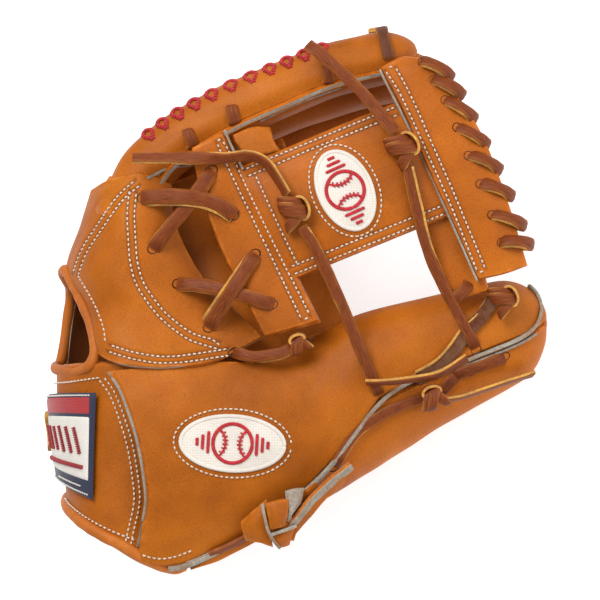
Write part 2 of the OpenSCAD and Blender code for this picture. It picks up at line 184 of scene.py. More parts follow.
class Mat:
    """A small helper for building node materials."""

    def __init__(self, name):
        self.m = bpy.data.materials.new(name)
        self.m.use_nodes = True
        self.t = self.m.node_tree
        self.p = self.t.nodes["Principled BSDF"]
        tc = self.t.nodes.new("ShaderNodeTexCoord")
        self.obj = tc.outputs["Object"]
        self.uv = tc.outputs["UV"]

    def node(self, kind, **kw):
        n = self.t.nodes.new(kind)
        for k, v in kw.items():
            if k.startswith("_"):
                setattr(n, k[1:], v)
        return n

    def link(self, a, b):
        self.t.links.new(a, b)

    def noise(self, scale, detail=4.0, rough=0.55, vec=None, dist=0.0):
        n = self.t.nodes.new("ShaderNodeTexNoise")
        n.inputs["Scale"].default_value = scale
        n.inputs["Detail"].default_value = detail
        n.inputs["Roughness"].default_value = rough
        n.inputs["Distortion"].default_value = dist
        self.link(vec or self.obj, n.inputs["Vector"])
        return n.outputs["Fac"]

    def voronoi(self, scale, feature="F1", vec=None, rnd=1.0):
        n = self.t.nodes.new("ShaderNodeTexVoronoi")
        n.feature = feature
        n.inputs["Scale"].default_value = scale
        n.inputs["Randomness"].default_value = rnd
        self.link(vec or self.obj, n.inputs["Vector"])
        return n.outputs["Distance"]

    def wave(self, scale, vec, direction="X", dist=0.0):
        n = self.t.nodes.new("ShaderNodeTexWave")
        n.bands_direction = direction
        n.inputs["Scale"].default_value = scale
        n.inputs["Distortion"].default_value = dist
        self.link(vec, n.inputs["Vector"])
        return n.outputs["Fac"]

    def mapped(self, vec, scale):
        n = self.t.nodes.new("ShaderNodeMapping")
        n.inputs["Scale"].default_value = scale
        self.link(vec, n.inputs["Vector"])
        return n.outputs["Vector"]

    def ramp(self, fac, stops):
        n = self.t.nodes.new("ShaderNodeValToRGB")
        e = n.color_ramp.elements
        while len(e) < len(stops):
            e.new(0.5)
        for el, (pos, col) in zip(e, stops):
            el.position = pos
            el.color = col
        self.link(fac, n.inputs["Fac"])
        return n.outputs["Color"]

    def math(self, op, a, b=None):
        n = self.t.nodes.new("ShaderNodeMath")
        n.operation = op
        for i, x in enumerate((a, b)):
            if x is None:
                continue
            if isinstance(x, (int, float)):
                n.inputs[i].default_value = x
            else:
                self.link(x, n.inputs[i])
        return n.outputs[0]

    def mix(self, fac, a, b, mode="MIX"):
        n = self.t.nodes.new("ShaderNodeMix")
        n.data_type = "RGBA"
        n.blend_type = mode
        for sock, x in ((n.inputs[0], fac), (n.inputs[6], a), (n.inputs[7], b)):
            if isinstance(x, (int, float)):
                sock.default_value = x
            elif isinstance(x, tuple):
                sock.default_value = x
            else:
                self.link(x, sock)
        return n.outputs[2]

    def attr(self, name):
        n = self.t.nodes.new("ShaderNodeAttribute")
        n.attribute_name = name
        return n.outputs["Fac"]

    def color(self, c):
        self.link(c, self.p.inputs["Base Color"])

    def rough(self, fac, lo, hi):
        n = self.t.nodes.new("ShaderNodeMapRange")
        n.inputs["To Min"].default_value = lo
        n.inputs["To Max"].default_value = hi
        self.link(fac, n.inputs["Value"])
        self.link(n.outputs[0], self.p.inputs["Roughness"])

    def bump(self, *layers):
        """layers: (height socket, strength, distance)"""
        prev = None
        for h, st, dist in layers:
            b = self.t.nodes.new("ShaderNodeBump")
            b.inputs["Strength"].default_value = st
            b.inputs["Distance"].default_value = dist
            self.link(h, b.inputs["Height"])
            if prev is not None:
                self.link(prev, b.inputs["Normal"])
            prev = b.outputs["Normal"]
        self.link(prev, self.p.inputs["Normal"])


def leather(name, lo, mid, hi, rough=(0.42, 0.62), grain=1.0, spec=0.42, worn=0.5, coat=0.0):
    k = Mat(name)
    big = k.noise(16, 3, 0.6)
    med = k.noise(70, 5, 0.65)
    fine = k.noise(420, 4, 0.6)
    c = k.ramp(big, [(0.3, lo), (0.52, mid), (0.74, hi)])
    c2 = k.mix(k.ramp(med, [(0.35, (0.25,) * 3 + (1,)), (0.7, (0.75,) * 3 + (1,))]), c, tuple(min(1, 1.28 * x) for x in hi[:3]) + (1,))
    c = k.mix(0.35, c, c2)
    cells = k.voronoi(900, "DISTANCE_TO_EDGE")
    pores = k.ramp(cells, [(0.0, (0.62,) * 3 + (1,)), (0.16, (1, 1, 1, 1))])
    c = k.mix(0.55 * grain, c, pores, "MULTIPLY")
    # wear lifts the edges; painted shade darkens the stitch grooves and carved channels
    edge = k.attr("wear")
    scuff = k.math("MULTIPLY", edge, k.ramp(k.noise(180, 6, 0.7), [(0.42, (0, 0, 0, 1)), (0.66, (1, 1, 1, 1))]))
    c = k.mix(k.math("MULTIPLY", scuff, worn), c, tuple(min(1, 1.9 * x + 0.03) for x in hi[:3]) + (1,))
    c = k.mix(k.math("MULTIPLY", k.attr("dirt"), 0.75), c, tuple(0.32 * x for x in lo[:3]) + (1,))
    scratch = k.noise(60, 8, 0.75, k.mapped(k.obj, (1, 9, 2)))
    c = k.mix(k.math("MULTIPLY", k.ramp(scratch, [(0.62, (0, 0, 0, 1)), (0.72, (1, 1, 1, 1))]), 0.22), c, tuple(min(1, 1.7 * x) for x in hi[:3]) + (1,))
    k.color(c)
    k.rough(k.noise(120, 4, 0.6), *rough)
    k.bump((k.noise(38, 4, 0.6), 0.35, 0.0012), (med, 0.3, 0.0005), (cells, 0.42 * grain, 0.00022), (fine, 0.18, 0.00012))
    k.p.inputs["Specular IOR Level"].default_value = spec
    if coat:
        k.p.inputs["Coat Weight"].default_value = coat
        k.p.inputs["Coat Roughness"].default_value = 0.45
    return k.m


SHELL = leather("shell leather", srgb(130, 63, 4), srgb(161, 83, 7), srgb(182, 102, 18), spec=0.17)
SHELL2 = leather("web leather", srgb(134, 65, 5), srgb(166, 85, 9), srgb(188, 104, 20), spec=0.18)
# palm leather: the shell's tan made a little darker as painted shade for the inside of the glove
PALM_SHADED = leather("palm leather", srgb(118, 56, 6), srgb(152, 77, 12), srgb(178, 97, 24), rough=(0.4, 0.6), spec=0.2)
INNER = leather("lining leather", srgb(104, 54, 20), srgb(132, 72, 30), srgb(156, 94, 46), rough=(0.6, 0.8), grain=0.5, spec=0.25)
BIND = leather("binding leather", srgb(138, 68, 12), srgb(168, 89, 24), srgb(190, 110, 42), rough=(0.45, 0.65), grain=0.5, worn=0.3, spec=0.2)


def flesh_mat(name, a, b):
    k = Mat(name)
    f = k.noise(700, 6, 0.75)
    c = k.ramp(f, [(0.3, a), (0.7, b)])
    c = k.mix(k.ramp(k.noise(90, 4, 0.6), [(0.4, (0, 0, 0, 1)), (0.75, (0.8, 0.8, 0.8, 1))]), c, srgb(126, 92, 66))
    k.color(c)
    k.rough(f, 0.75, 0.95)
    k.bump((k.noise(260, 5, 0.7), 0.5, 0.0003), (f, 0.6, 0.00015))
    k.p.inputs["Specular IOR Level"].default_value = 0.15
    return k.m


FLESH = flesh_mat("raw split edge", srgb(122, 112, 100), srgb(176, 168, 154))
GOLD = flesh_mat("cut lace edge", srgb(168, 108, 40), srgb(222, 172, 88))


def lace_mat(name, lo, mid, hi):
    k = Mat(name)
    long = k.mapped(k.uv, (30, 400, 1))
    st = k.noise(6, 5, 0.65, long)
    c = k.ramp(st, [(0.3, lo), (0.5, mid), (0.72, hi)])
    c = k.mix(k.ramp(k.noise(90, 5, 0.6), [(0.35, (0, 0, 0, 1)), (0.7, (0.7, 0.7, 0.7, 1))]), c, mid)
    c = k.mix(k.math("MULTIPLY", k.attr("wear"), k.math("MULTIPLY", k.noise(300, 5, 0.7), 0.32)), c, srgb(192, 118, 48))
    k.color(c)
    k.rough(k.noise(200, 4, 0.6), 0.42, 0.66)
    k.bump((st, 0.5, 0.0004), (k.noise(55, 4, 0.6), 0.35, 0.0008), (k.voronoi(1100, "DISTANCE_TO_EDGE"), 0.25, 0.00012))
    k.p.inputs["Specular IOR Level"].default_value = 0.22
    return k.m


LACE = lace_mat("rawhide lace", srgb(68, 24, 4), srgb(110, 48, 10), srgb(152, 80, 26))
LACE_D = lace_mat("dark rawhide lace", srgb(56, 27, 12), srgb(84, 42, 20), srgb(118, 64, 32))


def thread_mat(name, a, b):
    k = Mat(name)
    tw = k.wave(900, k.obj, "DIAGONAL", 1.0)
    c = k.ramp(k.noise(500, 3, 0.6), [(0.3, a), (0.7, b)])
    k.color(k.mix(k.math("MULTIPLY", tw, 0.25), c, tuple(0.5 * x for x in a[:3]) + (1,)))
    k.rough(tw, 0.6, 0.8)
    k.bump((tw, 0.6, 0.00015), (k.noise(900, 3, 0.6), 0.3, 0.0001))
    k.p.inputs["Sheen Weight"].default_value = 0.15
    return k.m


THREAD = thread_mat("white thread", srgb(196, 178, 158), srgb(236, 226, 212))
HOLE = thread_mat("stitch channel", srgb(70, 20, 14), srgb(104, 38, 22))
RED = thread_mat("red embroidery", srgb(150, 8, 18), srgb(206, 26, 38))
NAVY = thread_mat("navy embroidery", srgb(20, 26, 52), srgb(36, 44, 78))


def cloth_mat(name, a, b, fac=1.0):
    k = Mat(name)
    w1 = k.wave(420, k.uv, "X", 0.4)
    w2 = k.wave(420, k.uv, "Y", 0.4)
    wv = k.math("MULTIPLY", w1, w2)
    c = k.ramp(wv, [(0.1, a), (0.8, b)])
    c = k.mix(k.ramp(k.noise(45, 4, 0.6), [(0.45, (0, 0, 0, 1)), (0.75, (0.45, 0.45, 0.45, 1))]), c, tuple(0.72 * x for x in a[:3]) + (1,))
    k.color(c)
    k.rough(wv, 0.7, 0.9)
    k.bump((wv, 0.5 * fac, 0.0002), (k.noise(60, 3, 0.5), 0.2, 0.0006))
    k.p.inputs["Sheen Weight"].default_value = 0.2
    return k.m


PATCH = cloth_mat("white patch cloth", srgb(206, 196, 184), srgb(240, 234, 226))
FELT = cloth_mat("pressed felt", srgb(176, 168, 146), srgb(208, 200, 178), 0.6)
LABEL_N = cloth_mat("label navy", srgb(22, 26, 50), srgb(40, 46, 80))
LABEL_R = cloth_mat("label red", srgb(150, 28, 34), srgb(190, 50, 50))
LABEL_W = cloth_mat("label white", srgb(206, 200, 190), srgb(238, 234, 226))

# ------------------------------------------------------------------ mesh code
MADE = {}


def carry(o, how):
    if how == "fingers":
        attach(o, "fingers_side")
    elif how == "thumb_only":
        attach(o, "thumb_side")
    else:
        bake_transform(o)


def build(name, V, F, mats, fm=None, uv=None, attrs=None, angle=40):
    m = bpy.data.meshes.new(name)
    m.from_pydata([tuple(p) for p in row(V)], [], [tuple(int(i) for i in f) for f in F])
    for mt in mats:
        m.materials.append(mt)
    if fm is not None:
        m.polygons.foreach_set("material_index", np.asarray(fm, dtype=np.int32))
    m.polygons.foreach_set("use_smooth", [True] * len(m.polygons))
    if uv is not None:
        lay = m.uv_layers.new(name="UVMap")
        li = np.zeros(len(m.loops), dtype=np.int32)
        m.loops.foreach_get("vertex_index", li)
        lay.data.foreach_set("uv", np.asarray(uv, dtype=np.float32)[li].ravel())
    # wear: rubbed edges; dirt: painted shade in the grooves and carved stitch channels
    for an in ("wear", "dirt"):
        a = m.attributes.new(an, "FLOAT", "POINT")
        val = (attrs or {}).get(an)
        if val is not None:
            a.data.foreach_set("value", np.asarray(val, dtype=np.float32).ravel())
    m.validate(clean_customdata=False)
    m.update()
    if angle:
        m.set_sharp_from_angle(angle=math.radians(angle))
    o = bpy.data.objects.new(name, m)
    bpy.context.scene.collection.objects.link(o)
    MADE[name] = (o, np.asarray(V, float), F)
    return o


def grid_normals(G):
    a = np.gradient(G, axis=0)
    b = np.gradient(G, axis=1)
    return unit(np.cross(a, b))


def arclen(G, axis):
    d = np.linalg.norm(np.diff(G, axis=axis), axis=2)
    z = np.zeros((1, G.shape[1])) if axis == 0 else np.zeros((G.shape[0], 1))
    return np.concatenate([z, np.cumsum(d, axis=axis)], axis=axis)


def border(G, sides="nsew"):
    """Distance of each grid point from the panel's chosen sides, in mm."""
    a0, a1 = arclen(G, 0), arclen(G, 1)
    D = np.full(G.shape[:2], 1e3)
    if "n" in sides:
        D = np.minimum(D, a0)
    if "s" in sides:
        D = np.minimum(D, a0[-1:] - a0)
    if "w" in sides:
        D = np.minimum(D, a1)
    if "e" in sides:
        D = np.minimum(D, a1[:, -1:] - a1)
    return D


def panel(name, G, out, thick=2.6, puff=0.0, sides="nsew", round_r=1.6, grooves=(), puff_r=9.0, mats=None,
          rough_amp=0.25, slot="shell_leather", inner=None, seed=0, edge_mat=1, worn=1.0, puff_in=4.0, carve=(), lap=()):
    """A thick leather panel on the surface grid G, on the side out (+1 or -1)
    of its own normal, with rounded edges, a padded crown and stitch grooves."""
    N = grid_normals(G) * out
    D = border(G, sides)
    a0, a1 = arclen(G, 0), arclen(G, 1)
    h = np.zeros(G.shape[:2])
    t = np.clip(D / round_r, 0, 1)
    h -= 0.75 * thick * (1 - np.sqrt(1 - (1 - t) ** 2))
    if puff:
        h += puff * sstep(puff_in, puff_in + puff_r, D)
    for g in grooves:
        h -= 0.5 * np.exp(-((D - g) / 0.9) ** 2)
    # painted shade along the carved stitch channels
    dirt2 = np.zeros(G.shape[:2])
    for cv in list(carve) + [q[0] for q in lap]:
        C = smooth_path([[p[0], p[1], 0] for p in cv], 1.0)[:, :2]
        dd = plan_distance(G, C)[0]
        h -= 0.55 * np.exp(-((dd / 0.8) ** 2))
        dirt2 = np.maximum(dirt2, np.exp(-((dd / 0.7) ** 2)))
    for cv, step_h in lap:
        C = smooth_path([[p[0], p[1], 0] for p in cv], 1.0)[:, :2]
        dd, sg = plan_distance(G, C)
        h += step_h * sstep(-0.5, 0.5, sg) * np.exp(-np.clip(sg, 0, None) / 14.0)
    # slow hand-worked unevenness
    rng = np.random.default_rng(seed + 7)
    ph = rng.uniform(0, 6.28, 8)
    h += rough_amp * (np.sin(a0 / 9.1 + ph[0]) * np.sin(a1 / 7.3 + ph[1]) + 0.6 * np.sin(a0 / 4.3 + ph[2] + a1 / 13.0) * np.sin(a1 / 3.9 + ph[3])
                      + 0.5 * np.sin(a0 / 21.0 + a1 / 17.0 + ph[4])) * sstep(0, 6, D)
    T = G + N * h[..., None]
    B = G - N * thick
    r, c = G.shape[:2]
    n = r * c
    V = np.concatenate([T.reshape(-1, 3), B.reshape(-1, 3)])
    I = np.arange(n).reshape(r, c)
    q = np.stack([I[:-1, :-1], I[:-1, 1:], I[1:, 1:], I[1:, :-1]], -1).reshape(-1, 4)
    if out < 0:
        q = q[:, ::-1]
    F = [q, (q + n)[:, ::-1]]
    fm = [np.zeros(len(q), int), np.full(len(q), 2)]
    loop = np.concatenate([I[0, :-1], I[:-1, -1], I[-1, :0:-1], I[:0:-1, 0]])
    nx = np.roll(loop, -1)
    e = np.stack([loop, loop + n, nx + n, nx], -1)
    if out < 0:
        e = e[:, ::-1]
    F.append(e)
    fm.append(np.full(len(e), edge_mat))
    F = np.concatenate(F)
    # keep every face pointing out
    fm = np.concatenate(fm)
    uv = np.stack([a0, a1], -1).reshape(-1, 2) / 1000.0
    uv = np.concatenate([uv, uv])
    wear = (np.exp(-((D - 0.3) / 1.3) ** 2) * worn).ravel()
    # painted shade in the stitch grooves and carved channels
    dirt = (sum((np.exp(-((D - g) / 0.8) ** 2) for g in grooves), np.zeros_like(D)) + dirt2).ravel()
    o = build(name, V, F, mats or [SHELL, FLESH, inner or INNER], fm, uv,
              {"wear": np.r_[wear, wear], "dirt": np.r_[np.clip(dirt, 0, 1), dirt * 0]})
    fix_normals(o)
    return o


def plan_distance(G, C):
    """Distance in plan from every grid point to the curve C, and the same
    with a sign: positive on the left of the curve."""
    P = G[..., :2].reshape(-1, 2)
    best = np.full(len(P), 1e9)
    sign = np.ones(len(P))
    T = unit(np.gradient(C, axis=0))
    for i in range(0, len(P), 4000):
        d = P[i:i + 4000, None] - C[None]
        r = np.hypot(d[..., 0], d[..., 1])
        k = r.argmin(1)
        best[i:i + 4000] = r[np.arange(len(k)), k]
        dk = d[np.arange(len(k)), k]
        tk = T[k]
        sign[i:i + 4000] = np.sign(tk[:, 0] * dk[:, 1] - tk[:, 1] * dk[:, 0])
    sh = G.shape[:2]
    return best.reshape(sh), (best * sign).reshape(sh)


def fix_normals(o):
    """Turn the whole closed mesh outward if its volume comes out negative."""
    m = o.data
    n = len(m.vertices)
    co = np.zeros(n * 3)
    m.vertices.foreach_get("co", co)
    co = co.reshape(-1, 3)
    m.calc_loop_triangles()
    t = np.zeros(len(m.loop_triangles) * 3, dtype=np.int32)
    m.loop_triangles.foreach_get("vertices", t)
    t = t.reshape(-1, 3)
    a, b, c = co[t[:, 0]], co[t[:, 1]], co[t[:, 2]]
    if np.einsum("ij,ij->i", a, np.cross(b, c)).sum() < 0:
        m.flip_normals()


def frames(C, N):
    T = unit(np.gradient(C, axis=0))
    N = np.asarray(N, float)
    if N.ndim == 1:
        N = np.tile(N, (len(C), 1))
    elif len(N) != len(C):
        N = at(N, np.linspace(0, len(N) - 1, len(C)))
    N = unit(N - T * np.einsum("ij,ij->i", N, T)[:, None])
    S = np.cross(T, N)
    return T, N, S


def ribbon(name, P, N=(0, 0, 1), wd=6.2, th=1.8, step=1.2, mats=None, wob=0.25, seed=0, taper=0.0, raw=False, crown=0.25):
    """A flat lace or strap along P, its face towards N, with cut edges."""
    C = np.asarray(P, float) if raw else smooth_path(P, step)
    T, N, S = frames(C, N)
    n = len(C)
    rng = np.random.default_rng(seed + 3)
    s = np.linspace(0, 1, n)
    L = np.r_[0, np.cumsum(np.linalg.norm(np.diff(C, axis=0), axis=1))]
    w = wd * (1 + 0.045 * np.sin(L / 6.0 + rng.uniform(0, 6)) + 0.03 * np.sin(L / 2.3 + rng.uniform(0, 6)))
    if taper:
        w = w * (1 - taper * sstep(0.75, 1.0, s))
    tilt = wob * 0.12 * np.sin(L / 11.0 + rng.uniform(0, 6))
    N2 = N * np.cos(tilt)[:, None] + S * np.sin(tilt)[:, None]
    S2 = np.cross(T, N2)
    crown = crown * 0.62
    prof = [(-0.5, -0.34), (-0.5, 0.32), (-0.46, 0.5), (-0.24, 0.5 + crown * 0.5), (0.24, 0.5 + crown * 0.5), (0.46, 0.5), (0.5, 0.32), (0.5, -0.34),
            (0.44, -0.5), (0.0, -0.5), (-0.44, -0.5)]
    k = len(prof)
    V = np.stack([C + S2 * (a * w)[:, None] + N2 * (b * th) for a, b in prof], 1).reshape(-1, 3)
    F, fm = [], []
    for i in range(n - 1):
        for j in range(k):
            j2 = (j + 1) % k
            F.append((i * k + j, i * k + j2, (i + 1) * k + j2, (i + 1) * k + j))
            fm.append(1 if j in (0, 6) else 0)
    F.append(tuple(range(k))[::-1])
    F.append(tuple((n - 1) * k + j for j in range(k)))
    fm += [1, 1]
    uv = np.stack([np.repeat(L, k) / 1000, np.tile([p[0] * wd for p in prof], n) / 1000], -1)
    wear = np.tile([1 if abs(p[0]) > 0.42 else 0 for p in prof], n).astype(float)
    o = build(name, V, F, mats or [LACE, GOLD], fm, uv, {"wear": wear}, angle=50)
    fix_normals(o)
    return o


def tube(name, P, ra, rb, N=(0, 0, 1), k=14, step=1.0, mats=None, folds=0.0, seed=0, raw=False, power=1.0):
    C = np.asarray(P, float) if raw else smooth_path(P, step)
    T, N, S = frames(C, N)
    n = len(C)
    rng = np.random.default_rng(seed + 5)
    L = np.r_[0, np.cumsum(np.linalg.norm(np.diff(C, axis=0), axis=1))]
    a = np.linspace(0, 2 * np.pi, k, endpoint=False)
    wr = 1 + folds * (np.sin(L / 1.9 + 2 * np.sin(L / 7.0 + rng.uniform(0, 6))) * 0.6 + 0.4 * np.sin(L / 4.4 + rng.uniform(0, 6)))
    wr[0] *= 0.7
    wr[-1] *= 0.7
    ca = np.sign(np.cos(a)) * np.abs(np.cos(a)) ** power
    sa = np.sign(np.sin(a)) * np.abs(np.sin(a)) ** power
    V = (C[:, None] + S[:, None] * (ra * ca)[None, :, None] * wr[:, None, None] + N[:, None] * (rb * sa)[None, :, None] * wr[:, None, None]).reshape(-1, 3)
    F = [(i * k + j, i * k + (j + 1) % k, (i + 1) * k + (j + 1) % k, (i + 1) * k + j) for i in range(n - 1) for j in range(k)]
    F.append(tuple(range(k))[::-1])
    F.append(tuple((n - 1) * k + j for j in range(k)))
    uv = np.stack([np.repeat(L, k) / 1000, np.tile(a * ra, n) / 1000], -1)
    o = build(name, V, F, mats or [BIND], None, uv, {"wear": np.tile(np.clip(np.sin(a), 0, 1) * 0.4, n)}, angle=60)
    fix_normals(o)
    return o


def join(name, objs):
    """Make one object out of several built ones."""
    V, F, fm, off = [], [], [], 0
    mats = []
    bpy.ops.object.select_all(action="DESELECT")
    for o in objs:
        o.select_set(True)
    bpy.context.view_layer.objects.active = objs[0]
    bpy.ops.object.join()
    o = objs[0]
    o.name = name
    o.data.name = name
    return o


# surfaces that laces and stitches lie on, as seen square to the web
SURF = []


def drape_tree(names):
    V, F, off = [], [], 0
    for nme in names:
        o, v, f = MADE[nme]
        V.append(v)
        F += [tuple(int(i) + off for i in q) for q in f]
        off += len(v)
    V = np.concatenate(V)
    return BVHTree.FromPolygons([tuple(p) for p in V], F)


def drape(tree, uv, lift=0.0, taut=0, step=1.0, ends=None, fallback=0.0):
    """Points over the plan curve uv, resting on the surface, pulled tight
    across hollows where taut is set."""
    P = smooth_path([[p[0], p[1], 0] for p in uv], step)
    W = np.full(len(P), np.nan)
    NN = np.tile([0.0, 0, 1], (len(P), 1))
    for i, p in enumerate(P):
        hit, nor, _, _ = tree.ray_cast(Vector((p[0], p[1], 300)), Vector((0, 0, -1)))
        if hit is not None:
            W[i] = hit.z
            nn = np.array(nor)
            NN[i] = nn if nn[2] > 0 else -nn
    ok = ~np.isnan(W)
    if ok.any():
        W = np.where(ok, W, -60.0 if taut else np.interp(np.arange(len(W)), np.where(ok)[0], W[ok]))
    else:
        W[:] = fallback
    W = W + lift
    if ends:
        if ends[0] is not None:
            W[0] = ends[0]
        if ends[1] is not None:
            W[-1] = ends[1]
    if taut:
        # upper hull of the profile: a lace under tension
        s = np.arange(len(W), dtype=float)
        hull = [0]
        for i in range(1, len(W)):
            hull.append(i)
            while len(hull) > 2:
                a, b, c = hull[-3:]
                if (W[b] - W[a]) * (s[c] - s[a]) <= (W[c] - W[a]) * (s[b] - s[a]):
                    hull.pop(-2)
                else:
                    break
        H = np.interp(s, hull, W[hull])
        W = H if taut >= 1 else np.maximum(W, H * taut + W * (1 - taut))
        ker = np.ones(5) / 5
        Wp = np.pad(W, 2, mode="edge")
        W = np.maximum(W, np.convolve(Wp, ker, "valid"))
        NN = np.tile([0.0, 0, 1], (len(P), 1)) * 0.6 + NN * 0.4
    ker = np.ones(7) / 7
    for k in range(3):
        NN[:, k] = np.convolve(np.pad(NN[:, k], 3, mode="edge"), ker, "valid")
    P[:, 2] = W
    return P, unit(NN)


def stitch_rows(name, rows, pitch=2.45, length=1.75, wd=0.78, mats=None, slot="patch"):
    """Rows of thread; each row is (points, normals)."""
    Vs, Fs, off = [], [], 0
    k = 5
    prof = [(0.0, 0.35), (0.12, 0.8), (0.35, 1.0), (0.65, 1.0), (0.88, 0.8), (1.0, 0.35)]
    for P, N in rows:
        P = np.asarray(P, float)
        L = np.r_[0, np.cumsum(np.linalg.norm(np.diff(P, axis=0), axis=1))]
        n = int(L[-1] // pitch)
        if n < 1:
            continue
        for i in range(n):
            s0 = (L[-1] - n * pitch) / 2 + i * pitch + (pitch - length) / 2
            ts = np.array([s0 + f * length for f, _ in prof])
            C = np.stack([np.interp(ts, L, P[:, j]) for j in range(3)], 1)
            M = unit(np.stack([np.interp(ts, L, N[:, j]) for j in range(3)], 1))
            T = unit(C[-1] - C[0])
            S = unit(np.cross(T, M))
            # the thread dips into its holes at both ends
            dip = np.array([-0.55, -0.05, 0.28, 0.28, -0.05, -0.55])
            C = C + M * dip[:, None]
            a = np.linspace(0, 2 * np.pi, k, endpoint=False)
            r = np.array([q[1] for q in prof]) * wd / 2
            V = (C[:, None] + S[:, None] * (np.cos(a)[None, :, None] * r[:, None, None] * 1.15) + M[:, None] * (np.sin(a)[None, :, None] * r[:, None, None])).reshape(-1, 3)
            F = [(q * k + j + off, q * k + (j + 1) % k + off, (q + 1) * k + (j + 1) % k + off, (q + 1) * k + j + off) for q in range(len(prof) - 1) for j in range(k)]
            F.append(tuple(off + j for j in range(k))[::-1])
            F.append(tuple(off + (len(prof) - 1) * k + j for j in range(k)))
            Vs.append(V)
            Fs += F
            off += len(V)
    o = build(name, np.concatenate(Vs), Fs, mats or [THREAD], None, None, None, angle=0)
    fix_normals(o)
    return o


def offset_uv(uv, d):
    """A plan curve moved sideways by d."""
    P = smooth_path([[p[0], p[1], 0] for p in uv], 3.0)[:, :2]
    T = unit(np.gradient(P, axis=0))
    Nn = np.stack([-T[:, 1], T[:, 0]], 1)
    return (P + Nn * d).tolist()


def lin(a, b, n):
    return np.linspace(a, b, n)


def surf(fn, S, Fv):
    s, f = np.meshgrid(S, Fv, indexing="ij")
    return fn(s, f)


RES = 1.0


def N_(n):
    return max(6, int(n * RES))


# ------------------------------------------------------------------ fingers
names = ["index", "middle", "ring", "pinky"]
X = np.r_[lin(-0.07, 0.87, N_(90))[:-1], 0.87 + 0.13 * np.sin(lin(0, math.pi / 2, N_(16)))]
for k, nm in enumerate(names):
    f0 = -48 if k == 0 else 2
    G = surf(lambda s, f, k=k: stall(k, s, f), X, lin(f0, 178, N_(44)))
    o = panel(nm + "_back_leather", G, 1 if np.sum(grid_normals(G)[10, 10] * (G[10, 10] - stall(k, X[10], 0, -12.2))) > 0 else -1,
              thick=2.2, puff=0.5, sides="ewn", round_r=1.2, puff_r=5, puff_in=2, seed=k, slot="shell_leather")
    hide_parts(nm + "_back")
    carry(o, "fingers")
    G = surf(lambda s, f, k=k: stall(k, s, f), X, lin(182, 360 + f0 - 4, N_(34)))
    o = panel(nm + "_palm_leather", G, 1 if np.sum(grid_normals(G)[10, 10] * (G[10, 10] - stall(k, X[10], 0, -12.2))) > 0 else -1,
              thick=2.2, puff=0.3, sides="ewn", round_r=1.2, puff_r=4, puff_in=2, seed=k + 10, mats=[PALM_SHADED, FLESH, INNER], slot="palm_leather")
    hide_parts(nm + "_palm")
    carry(o, "fingers")
    # the two raw edges that stand out along each seam
    for j, ff in enumerate((f0 - 2, 180)):
        xs = lin(0.02, 0.985, 60)
        P = stall(k, xs, np.full_like(xs, ff), 0.9)
        Nn = unit(stall(k, xs, np.full_like(xs, ff), 3.0) - stall(k, xs, np.full_like(xs, ff), 0.0))
        w = ribbon(f"{nm}_seam_edge_{j}", P, unit(np.gradient(P, axis=0))[:, [1, 2, 0]] * 0 + np.cross(unit(np.gradient(P, axis=0)), Nn), wd=2.6, th=2.6, raw=True,
                   mats=[SHELL2, FLESH], wob=0.1, crown=0.0, seed=k * 2 + j)
        carry(w, "fingers")

# ------------------------------------------------------------------ back of the hand
def hpanel(name, node, s0, s1, f0, f1, d=0.0, **kw):
    G = surf(lambda s, f: hand(s, f, d), lin(s0, s1, N_(kw.pop("ns", 60))), lin(f0, f1, N_(kw.pop("nf", 50))))
    c = G[G.shape[0] // 2, G.shape[1] // 2]
    n = grid_normals(G)[G.shape[0] // 2, G.shape[1] // 2]
    inside = at(HAND_C, (s0 + s1) / 2)
    o = panel(name, G, 1 if np.dot(n, c - inside) > 0 else -1, **kw)
    if node:
        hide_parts(node)
    carry(o, "fingers")
    return o


def net(Gc, r, c):
    """A smooth surface through a net of control points."""
    Gc = np.asarray(Gc, float)
    a = at(Gc, lin(0, len(Gc) - 1, r))
    return np.swapaxes(at(np.swapaxes(a, 0, 1), lin(0, Gc.shape[1] - 1, c)), 0, 1)


CROTCH = [[[-100.5, 53, -22], [-92, 57, -8], [-83, 59, -0.5], [-75, 60, 1.5], [-67, 58, -0.5], [-60, 55, -5]],
          [[-106.5, 36, -31], [-99, 36, -13.5], [-88, 36, -1.5], [-78, 36, 2], [-67, 36, 0.5], [-58, 36, -6]],
          [[-113.5, 14, -34], [-104.5, 14, -15], [-92, 14, -1.5], [-78, 14, 2], [-61, 13, 0.5], [-46, 12, -8]],
          [[-103, -3, -18], [-96, -4, -7], [-86, -6, -0.5], [-70, -7, 2.5], [-48, -6, 0], [-30, -4, -8]],
          [[-97, -25, -8], [-91, -28.5, 0.5], [-80, -31, 5.2], [-62, -32, 4.6], [-40, -29, 2.6], [-17, -17, -4]]]
APEX_L = [[-76, 55], [-85, 47], [-94, 35], [-102, 23.5], [-107, 12]]
INNER_L = [[-75.7, 54], [-80, 42], [-80, 28], [-76.6, 18], [-70.5, 4.7], [-61, -8], [-47, -19], [-32, -24]]
INN_O = [(-80, 51.7), (-81, 41), (-80.6, 30.6), (-79.6, 17.4), (-76.6, 7), (-70.5, -2.4), (-63.5, -10.3), (-52.6, -18.3), (-42, -22), (-38.4, -23.0)]
BOTTOM_L = [[-90, -22.6], [-76, -26.5], [-60, -28], [-33, -24.5]]
hpanel("knuckle_back_leather", "knuckle_back", 2.95, 4.4, 44, 156, d=-1.6, puff=0.6, grooves=(), ns=80, nf=70, seed=21, sides="nwe")
hpanel("pinky_side_leather", "pinky_side_back", 0.06, 4.1, 151.5, 213, puff=0.8, grooves=(2.6,), ns=90, seed=22)
hpanel("opening_side_leather", None, 0.05, 3.05, 107, 156, d=-0.9, puff=0.4, ns=90, nf=44, seed=27)
hpanel("wrist_back_leather", None, 0.05, 2.0, 73.2, 108.2, d=-3.2, thick=2.0, puff=0.2, ns=70, nf=40, seed=28)
hpanel("palm_seam_welt", None, 0.08, 3.9, 208, 219.5, d=-3.2, thick=1.2, puff=0.0, ns=60, nf=12, seed=29, mats=[PALM_SHADED, FLESH, INNER], slot="palm_leather")
